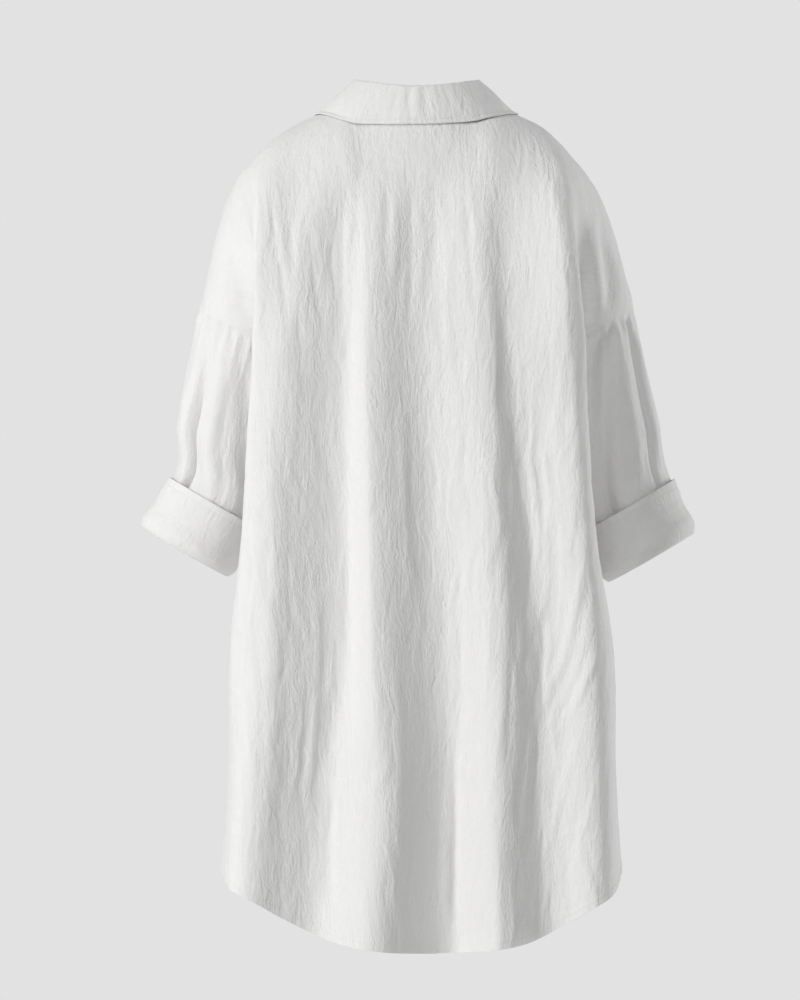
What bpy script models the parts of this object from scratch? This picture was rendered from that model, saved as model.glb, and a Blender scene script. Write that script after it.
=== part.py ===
"""Long loose blouse in washed cotton and linen, hollow as worn.

Metres, +Z up. The origin is between the shoulders, level with the collar seam
at the back. The wearer's back faces -Y, the wearer's right is +X. Every cloth
piece is an open surface worked out from the sections of the garment, with the
cloth's thickness put on inwards. Sewn pieces stay a hair apart at their seams.
"""
import math

import bmesh
import bpy
import numpy as np
from mathutils import Vector
from mathutils.bvhtree import BVHTree

# Driving sizes
CLOTH = 0.0012              # wall of the washed cloth
COLLAR_CLOTH = 0.0018       # collar band and leaf, two layers with stiffening
SEAM = 0.0003               # between pieces that are sewn together
CHEST = -0.268              # height of the underarm points
CHEST_DIP = 0.046           # the chest line runs this far below them on the panels
CHEST_RUN = 0.25            # share across, from the side seam, in which it gets there
HEM_BACK = -0.8915           # lowest point of the back hem
HEM_FRONT = -0.742          # lowest point of the front hem
HEM_SIDE = -0.695           # both hems at the side seams
HEM_CURVE = 2.5             # power of the front hem's curve
HEM_RISE = (                # share across, and how far the back hem has risen there
    (0, 0.0), (0.16, 0.0035), (0.32, 0.0135), (0.455, 0.0335), (0.58, 0.0555),
    (0.66, 0.0690), (0.72, 0.0770), (0.85, 0.0890), (1.0, HEM_SIDE - HEM_BACK),
)
HEM_DRIFT = 0.035           # how far the back hem's low point sits to the right
BAND_HALF = 0.015           # half the button band's width
BAND_LAP = 0.0018           # the right band lies this far in front of the left
BAND_LAP_RUN = 0.14         # share across the right front in which it comes forward
NECK_BACK = (0.0, -0.060, -0.002)
NECK_SIDE = (0.070, -0.010, 0.008)
NECK_FRONT = (BAND_HALF, 0.0645, -0.0740)

# Armhole: a tilted loop round each upper arm, its outer end the higher one
ARM_CENTRE = np.array((0.183, 0.015, -0.238))
ARM_ACROSS = 0.060
ARM_DEEP = 0.065
ARM_TILT = math.radians(30)

# Grid sizes
ARM_ROWS = 13               # body rows down the armhole, one sleeve pleat each
BODY_ROWS = 11              # body rows from the underarm to the hem
BACK_COLUMNS = (6, 15)      # from the centre to the neck point, and on to the side
FRONT_COLUMNS = (7, 11)     # from the band to the neck point, and on to the side
PLEAT_STEPS = 2             # sleeve columns to each pleat
PLEATED = 0.62              # share of the half loop, from the top, that is pleated
PLEAT_LEAST = 0.1           # radians; a shorter run between corners has no pleat
PLEAT_DEEP = 0.0030
NARROW = 0.014              # share of the run taken by the narrow column at a side seam
NARROW_BAND = 0.04          # by the one beside the button band
NARROW_TOP = 0.02           # and by the narrow row at the shoulder seam
FOLD_EDGE = (0.60, 0.16)    # the body's folds fade from this share across, over this run

# Places across a half panel: centre, blade, ridge, tuck behind it, side seam
STATIONS = (0, 0.45, 0.66, 0.84, 1)
NECK_SHARE = 0.26           # where the neck point lies across the shoulder line
SHOULDER = (                # share across, x, y, z along the shoulder line
    (0.26, *NECK_SIDE),
    (0.45, 0.114, 0.002, -0.002),
    (0.66, 0.163, 0.006, -0.036),
    (0.84, 0.204, 0.010, -0.095),
    (1.00, 0.235, 0.015, -0.208),
)
BACK_SECTIONS = (           # height, then x and y at each station, in mm
    (-268, (0, -128), (127, -120), (177, -110), (144, -40), (131, 15)),
    (-300, (0, -129), (128, -121), (178, -111), (141, -40), (126, 15)),
    (-400, (0, -132), (130, -124), (182, -114), (157, -40), (129, 16)),
    (-500, (0, -135), (135, -127), (190, -117), (186, -40), (152, 18)),
    (-560, (0, -137), (137, -129), (196, -117), (199, -37), (176, 22)),
    (-700, (0, -142), (142, -134), (198, -119), (206, -32), (201, 24)),
    (-900, (0, -150), (148, -143), (205, -128), (222, -36), (217, 25)),
)
FRONT_SECTIONS = (
    (-268, (15, 125), (112, 118), (150, 97), (143, 56), (131, 15)),
    (-300, (15, 125), (112, 118), (150, 97), (138, 54), (126, 15)),
    (-400, (15, 126), (114, 119), (152, 97), (143, 55), (129, 16)),
    (-500, (15, 126), (120, 119), (161, 97), (163, 58), (152, 18)),
    (-560, (15, 125), (127, 117), (173, 95), (184, 60), (176, 22)),
    (-700, (15, 125), (138, 116), (188, 92), (202, 60), (201, 24)),
    (-900, (15, 124), (145, 116), (196, 92), (214, 62), (217, 25)),
)
# Height, and how far the cloth sits to the right there
LEAN = ((-0.31, 0.0), (-0.42, 0.0012), (-0.55, 0.005), (-0.90, 0.005))
SHOULDER_LEAN = ((0.0, 0.0), (-0.05, -0.0035), (-0.12, -0.0015), (-0.20, 0.0))
SHOULDER_LEAN_FROM = (0.075, 0.050)   # from the neck out: where it starts, over what run

# Folds: each line runs down the cloth. Places and heights in mm, per height.
FOLD_LEVELS = (-60, -91, -253, -415, -577, -739, -900)
BACK_FOLDS = (
    # name, x at each level, height at each level (+ is a ridge)
    ("left edge", (-150, -160, -175, -182, -196, -212, -216), (0, 0, 0, 0, 0, 0, 0)),
    ("left ridge", (-105, -110, -140, -152, -160, -176, -186), (0, 1, 5, 8, 10, 11, 11)),
    ("left valley", (-74, -76, -77, -78, -84, -104, -114), (0, -3, -9, -12, -14, -14, -14)),
    ("middle ridge", (-40, -43, -51, -49, -50, -42, -54), (0, 1, 3, 5, 7, 10, 13)),
    ("centre valley", (12, 12, 7, 17, 25, 29, 32), (0, -3, -9, -13, -17, -22, -25)),
    ("right ridge", (62, 63, 77, 81, 84, 80, 82), (0, 1, 3, 5, 6, 8, 10)),
    ("right valley", (92, 92, 97, 112, 126, 126, 140), (0, -1, -4, -7, -8, -9, -10)),
    ("flank ridge", (138, 143, 154, 164, 176, 180, 186), (0, 2, 4, 6, 7, 7, 7)),
    ("right edge", (160, 168, 180, 188, 202, 216, 222), (0, 0, 0, 0, 0, 0, 0)),
)
FRONT_FOLDS = (
    ("band", (22, 22, 22, 22, 22, 22, 22), (0, 0, 0, 0, 0, 0, 0)),
    ("inner valley", (44, 44, 46, 50, 54, 58, 60), (0, -1, -4, -6, -8, -9, -10)),
    ("ridge", (78, 78, 82, 88, 96, 104, 106), (0, 1, 2, 4, 5, 7, 8)),
    ("outer valley", (106, 108, 116, 122, 138, 150, 152), (0, -1, -4, -5, -7, -7, -8)),
    ("edge", (130, 135, 148, 156, 178, 196, 202), (0, 0, 0, 0, 0, 0, 0)),
)
FRONT_SWAY = {"left": 0.92, "right": 1.06}   # the two fronts' folds differ a little

# Sleeves: share down, centre x per side, centre y, centre z, half across, half deep
SLEEVE_SECTIONS = {
    "left": (
        (0.00, 183, 15, -238, 60.0, 65.0),
        (0.33, 196, 22, -299, 59.0, 60.0),
        (0.64, 209, 30, -358, 57.5, 55.0),
        (0.90, 219, 38, -417, 53.2, 49.0),
        (1.00, 240.6, 41.2, -452.2, 52.8, 48.8),
    ),
    "right": (
        (0.00, 183, 15, -238, 60.0, 65.0),
        (0.33, 197, 22, -299, 59.0, 60.0),
        (0.64, 213, 30, -358, 57.5, 55.0),
        (0.90, 230, 38, -419, 53.2, 49.0),
        (1.00, 247.2, 41.2, -456.8, 52.8, 48.8),
    ),
}
SLEEVE_ROWS = (             # share down, share of the pleats' depth there
    (0, 0), (0.016, 0.12), (0.05, 0.75), (0.10, 1), (0.18, 0.8), (0.30, 0.4),
    (0.44, 0.1), (0.58, 0), (0.72, 0), (0.86, 0), (0.985, 0), (1, 0),
)
SLEEVE_FOLD_GROW = 0.45     # share down in which a sleeve's fold reaches its depth
SLEEVE_FOLD_END = (0.74, 0.26)   # where it starts to die out again, and over what run
SLEEVE_FOLDS = {            # angle at the top, angle at the cuff, half width, depth, start
    "left": (
        ("cuff valley", -40, -52, 17, -9.0, 0.30),
        ("outer ridge", -20, -30, 14, 2.5, 0.20),
        ("back ridge", -62, -76, 18, 4.0, 0.12),
        ("inner valley", -92, -104, 20, -6.0, 0.10),
        ("front valley", 58, 48, 20, -7.0, 0.20),
        ("front ridge", 86, 80, 18, 3.0, 0.15),
    ),
    "right": (
        ("long groove", -24, -17, 12, -6.0, 0.04),
        ("outer ridge", -50, -46, 16, 4.0, 0.05),
        ("broad valley", -72, -84, 20, -9.0, 0.04),
        ("inner ridge", -98, -112, 16, 3.0, 0.15),
        ("front valley", 40, 52, 20, -7.0, 0.15),
        ("front ridge", 74, 84, 18, 3.0, 0.15),
    ),
}

# Cuffs: centre x, y, z of the fold at the bottom and of the top edge, in mm
CUFFS = {
    "left": ((252.5, 43, -471.5), (219.5, 38, -418.0)),
    "right": ((256.0, 43, -477.5), (231.5, 38, -420.0)),
}
CUFF_COLUMNS = 26
CUFF_ROWS = (               # share up the cuff, half across, half deep, in mm
    (0.36, 51.6, 47.6),
    (0.10, 51.6, 47.6),
    (0.02, 51.9, 47.9),
    (0.00, 53.4, 49.4),
    (0.03, 54.9, 50.9),
    (0.50, 55.8, 51.9),
    (1.00, 57.6, 53.6),
)

# Collar
NECK_BACK_END = 0.40        # share round the half neckline where the shoulder seam meets it
BAND_START = 0.90           # and where the button band starts
STAND_TOP_BACK = (0.0, -0.0545, 0.0310)
STAND_TOP_SIDE = (0.066, -0.004, 0.0350)
STAND_TOP_FRONT = (0.0, 0.0690, -0.0460)
STAND_ROWS = 5
STAND_LAP = 0.0024          # the right end lies this far outside the left one
STAND_LAP_RUN = (0.55, 0.30)     # share round the neck where it starts to come out, and the run
STAND_END_STEPS = (0.67, 1.33, 1.80)   # the last columns, in shares of the way to the centre
LEAF_FOLD = ((-0.0018, 0.0021), (0.0010, 0.0028), (0.0036, 0.0010))   # outwards, up
LEAF_ROWS = 6
LEAF_BULGE = 0.002
LEAF_TURN = 0.45            # share round the neck where the leaf's edge meets the shoulder seam
LEAF_END = 0.90             # share round the neck where the leaf ends, short of the front
LEAF_SHOULDER = 0.455       # share across the panel at that meeting
LEAF_DOWN = (               # share of the way to that meeting, share down the back
    (0, 0.09), (0.29, 0.135), (0.57, 0.265), (0.79, 0.19), (1, 0.0),
)
LEAF_POINT = (0.22, 0.58)   # where the collar point lies on the front: across, down
LEAF_CLEAR = 0.0040         # outer face of the leaf above the cloth it lies on
LEAF_NEAR = 0.03            # only cloth this near it counts

# Buttons
BUTTON_TOP = -0.122
BUTTON_STEP = 0.084
BUTTON_COUNT = 7
BUTTON_LIFT = 0.0003
BUTTON_SIDES = 14
BUTTON_PROFILE = (          # half section from the middle of the face to that of the back
    (0.0, 0.0017),
    (0.0036, 0.0017),
    (0.0044, 0.0024),
    (0.0056, 0.0016),
    (0.0050, 0.0),
    (0.0, 0.0),
)


def smooth(xs, ys, x):
    """Cubic through the points (xs, ys) with parabolic slopes, read at x."""
    xs = np.asarray(xs, float)
    ys = np.asarray(ys, float)
    if xs[0] > xs[-1]:
        xs, ys = xs[::-1], ys[::-1]
    x = np.clip(np.asarray(x, float), xs[0], xs[-1])
    step = np.diff(xs)
    rise = np.diff(ys) / step
    slope = np.empty_like(ys)
    slope[1:-1] = (step[:-1] * rise[1:] + step[1:] * rise[:-1]) / (step[:-1] + step[1:])
    slope[0] = rise[0]
    slope[-1] = rise[-1]
    i = np.clip(np.searchsorted(xs, x, side="right") - 1, 0, len(step) - 1)
    t = (x - xs[i]) / step[i]
    h00 = (1 + 2 * t) * (1 - t) ** 2
    h10 = t * (1 - t) ** 2
    h01 = t * t * (3 - 2 * t)
    h11 = t * t * (t - 1)
    return h00 * ys[i] + h10 * step[i] * slope[i] + h01 * ys[i + 1] + h11 * step[i] * slope[i + 1]


def ease(value):
    """Smooth step from 0 to 1."""
    value = np.clip(value, 0, 1)
    return value * value * (3 - 2 * value)


def unit(vectors):
    """The same vectors, one long."""
    return vectors / np.linalg.norm(vectors, axis=-1, keepdims=True)


def arm_point(angle):
    """A point of the armhole loop at +X; 0 is on top, + towards the front."""
    across = np.array((math.cos(ARM_TILT), 0, math.sin(ARM_TILT)))
    deep = np.array((0, 1.0, 0))
    return (ARM_CENTRE + ARM_ACROSS * np.cos(angle)[..., None] * across
            + ARM_DEEP * np.sin(angle)[..., None] * deep)


def section(table, s, z):
    """x and y at share s across a half panel, at height z, from a table of sections."""
    heights = [row[0] / 1000 for row in table]
    station_x = [smooth(heights, [row[k][0] / 1000 for row in table], z) for k in range(1, 6)]
    station_y = [smooth(heights, [row[k][1] / 1000 for row in table], z) for k in range(1, 6)]
    mirror = [-share for share in STATIONS[:0:-1]] + list(STATIONS)
    half = table[0][1][0] / 1000
    xs = [2 * half - x for x in station_x[:0:-1]] + station_x
    ys = station_y[:0:-1] + station_y
    return smooth(mirror, xs, s), smooth(mirror, ys, s)


def top_line(s, back):
    """Neckline then shoulder line at share s across a half panel."""
    if s >= NECK_SHARE:
        shares = [row[0] for row in SHOULDER]
        return np.array([smooth(shares, [row[k] for row in SHOULDER], s) for k in (1, 2, 3)])
    start = np.array(NECK_BACK if back else NECK_FRONT)
    end = np.array(NECK_SIDE)
    turn = (s / NECK_SHARE) * math.pi / 2
    x = start[0] + (end[0] - start[0]) * math.sin(turn)
    y = start[1] + (end[1] - start[1]) * (1 - math.cos(turn))
    z = start[2] + (end[2] - start[2]) * (1 - math.cos(turn)) ** (1.2 if back else 0.8)
    return np.array((x, y, z))


def chest_height(s):
    """The chest line dips away from the underarm, so it leaves the armhole at an angle."""
    away = min(1.0, (1 - s) / CHEST_RUN)
    return CHEST - CHEST_DIP * (1 - (1 - away) ** 2)


def body_point(s, v, back):
    """A point of the half body at +X above the underarm: s across, v down from 0 to 1."""
    table = BACK_SECTIONS if back else FRONT_SECTIONS
    top = top_line(s, back)
    height = chest_height(s)
    x, y = section(table, s, height)
    low = np.array((float(x), float(y), height))
    # the cloth leaves the shoulder level and reaches the chest upright
    drop = 2.0 if s >= NECK_SHARE else 1.25 + 0.75 * (s / NECK_SHARE) ** 2
    point = np.array((
        top[0] + (low[0] - top[0]) * ease(v),
        top[1] + (low[1] - top[1]) * (1 - (1 - v) ** 2),
        top[2] + (low[2] - top[2]) * v ** drop,
    ))
    # towards the arm the rows are drawn out to the armhole loop
    pull = float(np.clip((s - 0.5) / 0.5, 0, 1))
    if pull > 0:
        plain_top = top_line(1, back)
        plain_low = np.array([*map(float, section(table, 1, CHEST)), CHEST])
        plain = np.array((
            plain_top[0] + (plain_low[0] - plain_top[0]) * ease(v),
            plain_top[1] + (plain_low[1] - plain_top[1]) * (1 - (1 - v) ** 2),
            plain_top[2] + (plain_low[2] - plain_top[2]) * v ** 2,
        ))
        angle = math.pi * v * (-1 if back else 1)
        point = point + pull * (arm_point(np.array(angle)) - plain)
    return point


def hem(s, back):
    """Height of the hem at signed share s across the panel."""
    if back:
        off = abs(s - HEM_DRIFT * (1 - s * s))
        return HEM_BACK + smooth([row[0] for row in HEM_RISE], [row[1] for row in HEM_RISE], off)
    return HEM_FRONT + (HEM_SIDE - HEM_FRONT) * abs(s) ** HEM_CURVE


def shares(count, first, last, narrow_first, narrow_last):
    """Even steps from first to last, with a narrow step at the ends that are sewn."""
    values = list(np.linspace(first, last, count + 1))
    if narrow_first:
        values.insert(1, first + (last - first) * narrow_first)
    if narrow_last:
        values.insert(-1, last - (last - first) * narrow_last)
    return values


def back_shares():
    """Column shares across the right half of the back."""
    inner, outer = BACK_COLUMNS
    return shares(inner, 0, NECK_SHARE, 0, 0) + shares(outer, NECK_SHARE, 1, 0, NARROW)[1:]


def front_shares():
    """Column shares across a front, from the band's edge to the side seam."""
    inner, outer = FRONT_COLUMNS
    return shares(inner, 0, NECK_SHARE, NARROW_BAND, 0) + shares(outer, NECK_SHARE, 1, 0, NARROW)[1:]


def body_grid(side_shares, back):
    """Points of a body panel, top row first; side_shares are signed shares across."""
    down_arm = shares(ARM_ROWS, 0, 1, NARROW_TOP, 0)
    down_body = shares(BODY_ROWS, 0, 1, 0, 0)[1:]
    grid = np.empty((len(down_arm) + len(down_body), len(side_shares), 3))
    table = BACK_SECTIONS if back else FRONT_SECTIONS
    for c, s in enumerate(side_shares):
        sign = -1 if s < 0 else 1
        for r, v in enumerate(down_arm):
            grid[r, c] = body_point(abs(s), v, back)
        for r, t in enumerate(down_body):
            high = chest_height(abs(s))
            z = high + (hem(s, back) - high) * t
            x, y = section(table, abs(s), z)
            grid[len(down_arm) + r, c] = (x, y, z)
        grid[:, c, 0] *= sign
    return grid


def normals(grid, closed=False):
    """Unit normals of a grid of points, rows by columns."""
    down = np.gradient(grid, axis=0)
    if closed:
        across = (np.roll(grid, -1, axis=1) - np.roll(grid, 1, axis=1)) / 2
    else:
        across = np.gradient(grid, axis=1)
    return unit(np.cross(down, across))


def fold_height(lines, x, z):
    """Height of the folds at place x, height z: eased from line to line."""
    levels = [level / 1000 for level in FOLD_LEVELS]
    places = [smooth(levels, [v / 1000 for v in line[1]], z) for line in lines]
    heights = [smooth(levels, [v / 1000 for v in line[2]], z) for line in lines]
    result = np.zeros_like(x)
    for k in range(len(lines) - 1):
        inside = (x >= places[k]) & (x < places[k + 1])
        t = (x - places[k]) / np.maximum(places[k + 1] - places[k], 0.001)
        value = heights[k] + (heights[k + 1] - heights[k]) * ease(t)
        result = np.where(inside, value, result)
    return result


def fold_window(across):
    """The folds' strength at each share across: they die out before the side."""
    start, run = FOLD_EDGE
    return 1 - ease((np.abs(across) - start) / run)


def pull_edge(grid, axis, end, distance):
    """Draw one edge row or column of the grid in by a distance along the cloth."""
    points = np.swapaxes(grid, 0, 1) if axis == 1 else grid
    edge, inner = (0, 1) if end == "first" else (-1, -2)
    points[edge] = points[edge] + unit(points[inner] - points[edge]) * distance


def leaned(grid):
    """The body sits a little to the left at the shoulders, to the right lower down."""
    grid = grid.copy()
    start, run = SHOULDER_LEAN_FROM
    low, high = (smooth([row[0] for row in table], [row[1] for row in table], grid[..., 2])
                 for table in (LEAN, SHOULDER_LEAN))
    grid[..., 0] += low + high * ease((np.abs(grid[..., 0]) - start) / run)
    return grid


def collection(name):
    made = bpy.data.collections.new(name)
    bpy.context.scene.collection.children.link(made)
    return made


def material(name, colour, roughness):
    made = bpy.data.materials.new(name)
    made.use_nodes = True
    shader = made.node_tree.nodes["Principled BSDF"]
    shader.inputs["Base Color"].default_value = (*colour, 1)
    shader.inputs["Roughness"].default_value = roughness
    return made


def cloth_object(name, grid, outside, closed=False, thickness=CLOTH):
    """A cloth piece: a grid primitive moved to the points, with its wall inwards.

    outside is a direction that the face at the grid's middle looks towards.
    """
    rows, columns = grid.shape[:2]
    across = columns + 1 if closed else columns
    bm = bmesh.new()
    bmesh.ops.create_grid(bm, x_segments=across - 1, y_segments=rows - 1, size=0.5)
    for vert in bm.verts:
        column = round((vert.co.x + 0.5) * (across - 1)) % columns
        row = round((0.5 - vert.co.y) * (rows - 1))
        vert.co = grid[row, column]
    if closed:
        bmesh.ops.remove_doubles(bm, verts=bm.verts, dist=0.00001)
    bm.normal_update()
    middle = min(bm.faces, key=lambda face: (face.calc_center_median()
                 - grid_middle(grid)).length)
    if middle.normal.dot(outside) < 0:
        bmesh.ops.reverse_faces(bm, faces=bm.faces)
    mesh = bpy.data.meshes.new(name)
    bm.to_mesh(mesh)
    bm.free()
    mesh.shade_smooth()
    made = bpy.data.objects.new(name, mesh)
    wall = made.modifiers.new("cloth", "SOLIDIFY")
    wall.thickness = thickness
    wall.offset = -1
    wall.use_rim = True
    made.data.materials.append(material(name + " cloth", (0.80, 0.79, 0.775), 0.92))
    made.parent = root
    garment.objects.link(made)
    return made


def grid_middle(grid):
    """The point at the middle of the grid, as a Blender vector."""
    return Vector(grid[grid.shape[0] // 2, grid.shape[1] // 2])


def tree_of(made):
    """The piece's open surface, ready to be asked for its nearest point."""
    bm = bmesh.new()
    bm.from_mesh(made.data)
    tree = BVHTree.FromBMesh(bm)
    bm.free()
    return tree


def build_back():
    """Back: one piece from side seam to side seam, folds growing towards the hem."""
    right = back_shares()
    across = [-s for s in right[:0:-1]] + right
    grid = body_grid(across, True)
    rise = fold_height(BACK_FOLDS, grid[..., 0], grid[..., 2]) * fold_window(across)
    grid = grid + outward(grid, (0, -1, 0)) * rise[..., None]
    for end in ("first", "last"):
        pull_edge(grid, 1, end, SEAM / 2)
    pull_edge(grid, 0, "first", SEAM / 2)
    return tree_of(cloth_object("back", leaned(grid), (0, -1, 0)))


def outward(grid, outside, closed=False):
    """Normals of the grid, turned so that its middle looks towards outside."""
    facing = normals(grid, closed)
    middle = facing[grid.shape[0] // 2, grid.shape[1] // 2]
    return facing if np.dot(middle, outside) > 0 else -facing


def build_front(side):
    """Front: from its button band to the side seam; the right one laps over."""
    sign = -1 if side == "left" else 1
    across = front_shares()
    grid = body_grid(across, False)
    rise = fold_height(FRONT_FOLDS, grid[..., 0], grid[..., 2]) * fold_window(across)
    rise = rise * FRONT_SWAY[side]
    if side == "right":
        rise = rise + BAND_LAP * (1 - ease(np.array(across) / BAND_LAP_RUN))
    grid = grid + outward(grid, (0, 1, 0)) * rise[..., None]
    pull_edge(grid, 1, "first", SEAM / 2)
    pull_edge(grid, 1, "last", SEAM / 2)
    pull_edge(grid, 0, "first", SEAM / 2)
    grid[..., 0] *= sign
    return tree_of(cloth_object("front_" + side, leaned(grid), (0, 1, 0)))


def build_band(side):
    """Button band: a straight strip on the centre front, right over left."""
    reach = BAND_HALF - SEAM / 2
    grid = np.repeat(body_grid([0.0], False), 2, axis=1)
    grid[:, :, 0] = (-reach, reach)
    if side == "right":
        grid = grid + outward(grid, (0, 1, 0)) * BAND_LAP
    pull_edge(grid, 0, "first", SEAM / 2)
    cloth_object("band_" + side, leaned(grid), (0, 1, 0))
    return grid


def sleeve_angles():
    """Angles round the armhole, with the two corners that each lies between."""
    marks = [math.pi * v for v in shares(ARM_ROWS, 0, 1, NARROW_TOP, 0)]
    half = []
    for a, b in zip(marks[:-1], marks[1:]):
        steps = PLEAT_STEPS if is_pleat(a, b) else 1
        half += [(a + (b - a) * k / steps, a, b) for k in range(steps)]
    half.append((math.pi, math.pi, math.pi))
    back = [(-angle, -a, -b) for angle, a, b in half[:0:-1]]
    return back + half[:-1]


def is_pleat(a, b):
    """Whether the run between two corners of the armhole holds a pleat."""
    return abs(b - a) > PLEAT_LEAST and abs(a) < PLEATED * math.pi


def pleat_depth(angle, a, b):
    """How far the sleeve dips at this angle, between its pleat's two edges."""
    if not is_pleat(a, b):
        return 0.0
    return -PLEAT_DEEP * math.sin(math.pi * (angle - a) / (b - a))


def build_sleeve(side):
    """Sleeve: set on the armhole with small pleats, down into the turned-up cuff."""
    sign = -1 if side == "left" else 1
    table = np.array(SLEEVE_SECTIONS[side]) / (1, 1000, 1000, 1000, 1000, 1000)
    columns = sleeve_angles()
    angles = np.array([column[0] for column in columns])
    down = np.array([row[0] for row in SLEEVE_ROWS])
    pleated = np.array([row[1] for row in SLEEVE_ROWS])
    grid = np.empty((len(down), len(columns), 3))
    across = np.array((math.cos(ARM_TILT), 0, math.sin(ARM_TILT)))
    deep = np.array((0, 1.0, 0))
    for r, t in enumerate(down):
        cx, cy, cz, wide, thick = (smooth(table[:, 0], table[:, k], t) for k in range(1, 6))
        centre = np.array((cx, cy, cz))
        grid[r] = (centre + wide * np.cos(angles)[:, None] * across
                   + thick * np.sin(angles)[:, None] * deep)
    # the top edge follows the armhole's own corners, so the seam stays parallel
    for c, (angle, a, b) in enumerate(columns):
        if a != b:
            start, end = arm_point(np.array(a)), arm_point(np.array(b))
            grid[0, c] = start + (end - start) * (angle - a) / (b - a)
    facing = outward(grid, ring_outside(grid), closed=True)
    rise = pleated[:, None] * np.array([pleat_depth(*column) for column in columns])
    ending, run = SLEEVE_FOLD_END
    for name, top, bottom, half, depth, start in SLEEVE_FOLDS[side]:
        centre = np.radians(top + (bottom - top) * down)
        away = np.abs(angles[None, :] - centre[:, None]) / math.radians(half)
        swell = ease((down - start) / SLEEVE_FOLD_GROW) * (1 - ease((down - ending) / run))
        rise += depth / 1000 * swell[:, None] * (1 - ease(away))
    grid = grid + facing * rise[..., None]
    pull_edge(grid, 0, "first", SEAM)
    pull_edge(grid, 0, "last", 1.5 * SEAM)
    grid[..., 0] *= sign
    cloth_object("sleeve_" + side, grid, ring_outside(grid), closed=True)


def ring_outside(grid):
    """The way that the middle point of a closed piece looks, from its own centre."""
    row = grid[grid.shape[0] // 2]
    return row[grid.shape[1] // 2] - row.mean(axis=0)


def build_cuff(side):
    """Turned-up cuff: an inner leaf, the fold at the bottom and the outer leaf."""
    sign = -1 if side == "left" else 1
    low, high = (np.array(point) / 1000 for point in CUFFS[side])
    angles = np.arange(CUFF_COLUMNS) * 2 * math.pi / CUFF_COLUMNS
    across = np.array((math.cos(ARM_TILT), 0, math.sin(ARM_TILT)))
    deep = np.array((0, 1.0, 0))
    grid = np.array([
        low + (high - low) * share
        + wide / 1000 * np.cos(angles)[:, None] * across
        + thick / 1000 * np.sin(angles)[:, None] * deep
        for share, wide, thick in CUFF_ROWS
    ])
    grid[..., 0] *= sign
    cloth_object("cuff_" + side, grid, ring_outside(grid), closed=True)


def neck_steps():
    """Places round the neckline, matching the corners of the panels' top edges.

    0 is the centre back, 1 the centre front, and past 1 the lap.
    """
    back = [NECK_BACK_END * s / NECK_SHARE for s in back_shares() if s <= NECK_SHARE]
    front = [BAND_START - (BAND_START - NECK_BACK_END) * s / NECK_SHARE
             for s in reversed(front_shares()) if s < NECK_SHARE]
    band = [BAND_START + (1 - BAND_START) * share for share in STAND_END_STEPS]
    half = back + front + band
    return np.array([-u for u in half[:0:-1]] + half)


def neck_line(u):
    """The neckline at u: 0 the centre back, 1 the centre front, past 1 the lap."""
    side = -1 if u < 0 else 1
    u = abs(u)
    if u <= NECK_BACK_END:
        point = top_line(NECK_SHARE * u / NECK_BACK_END, True)
    elif u <= BAND_START:
        point = top_line(NECK_SHARE * (BAND_START - u) / (BAND_START - NECK_BACK_END), False)
    else:
        point = np.array((BAND_HALF * (1 - (u - BAND_START) / (1 - BAND_START)), *NECK_FRONT[1:]))
    return point * (side, 1, 1)


def stand_top(u):
    """The top edge of the collar band at u."""
    side = -1 if u < 0 else 1
    u = abs(u)
    middle = STAND_TOP_SIDE
    if u <= NECK_BACK_END:
        end = STAND_TOP_BACK
        turn = u / NECK_BACK_END * math.pi / 2
        bend = math.cos(turn) ** 1.6
    else:
        end = STAND_TOP_FRONT
        turn = math.pi / 2 * (1 + (u - NECK_BACK_END) / (1 - NECK_BACK_END))
        bend = abs(math.cos(turn)) ** 1.15
    x = middle[0] * math.sin(turn)
    y = middle[1] + (end[1] - middle[1]) * abs(math.cos(turn))
    z = middle[2] + (end[2] - middle[2]) * bend
    return np.array((x, y, z)) * (side, 1, 1)


def level_out(points):
    """Level directions that look away from the neck, along a run of points."""
    along = np.gradient(points, axis=0)
    away = unit(np.stack([along[:, 1], -along[:, 0], np.zeros(len(points))], axis=1))
    return away if away[len(points) // 2, 1] < 0 else -away


def stand_edges(us):
    """Bottom and top edges of the collar band, its right end lapped outside."""
    low = np.array([neck_line(u) for u in us])
    high = np.array([stand_top(u) for u in us])
    away = level_out(high)
    start, run = STAND_LAP_RUN
    lap = STAND_LAP * ease((us - start) / run)
    low = low + (away + (0, 0, 1)) * lap[:, None]
    high = high + away * lap[:, None]
    return low, high, away


def build_stand():
    """Collar band: stands up from the neckline and closes at the front."""
    us = neck_steps()
    low, high, away = stand_edges(us)
    low = low + unit(high - low) * SEAM
    grid = np.array([low + (high - low) * t for t in np.linspace(0, 1, STAND_ROWS)])
    cloth_object("collar_stand", grid, (0, -1, 0), thickness=COLLAR_CLOTH)
    return grid


def leaf_edge(u):
    """The leaf's lower edge at u: it lies on the back, the shoulder and the front."""
    side = -1 if u < 0 else 1
    share = abs(u)
    back = share <= LEAF_TURN
    if back:
        s = LEAF_SHOULDER * share / LEAF_TURN
        v = smooth([row[0] for row in LEAF_DOWN], [row[1] for row in LEAF_DOWN], share / LEAF_TURN)
    else:
        reach = (share - LEAF_TURN) / (LEAF_END - LEAF_TURN)
        s = LEAF_SHOULDER + (LEAF_POINT[0] - LEAF_SHOULDER) * reach
        v = LEAF_POINT[1] * reach
    point = body_point(s, v, back)
    step = 0.01
    across = body_point(s + step, v, back) - point
    down = body_point(s, v + step, back) - point
    facing = unit(np.cross(down, across) if back else np.cross(across, down))
    if share > LEAF_TURN - 0.001 and v < step:
        facing = np.array((0.0, 0.0, 1.0))
    return (point + facing * LEAF_CLEAR) * (side, 1, 1)


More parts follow.
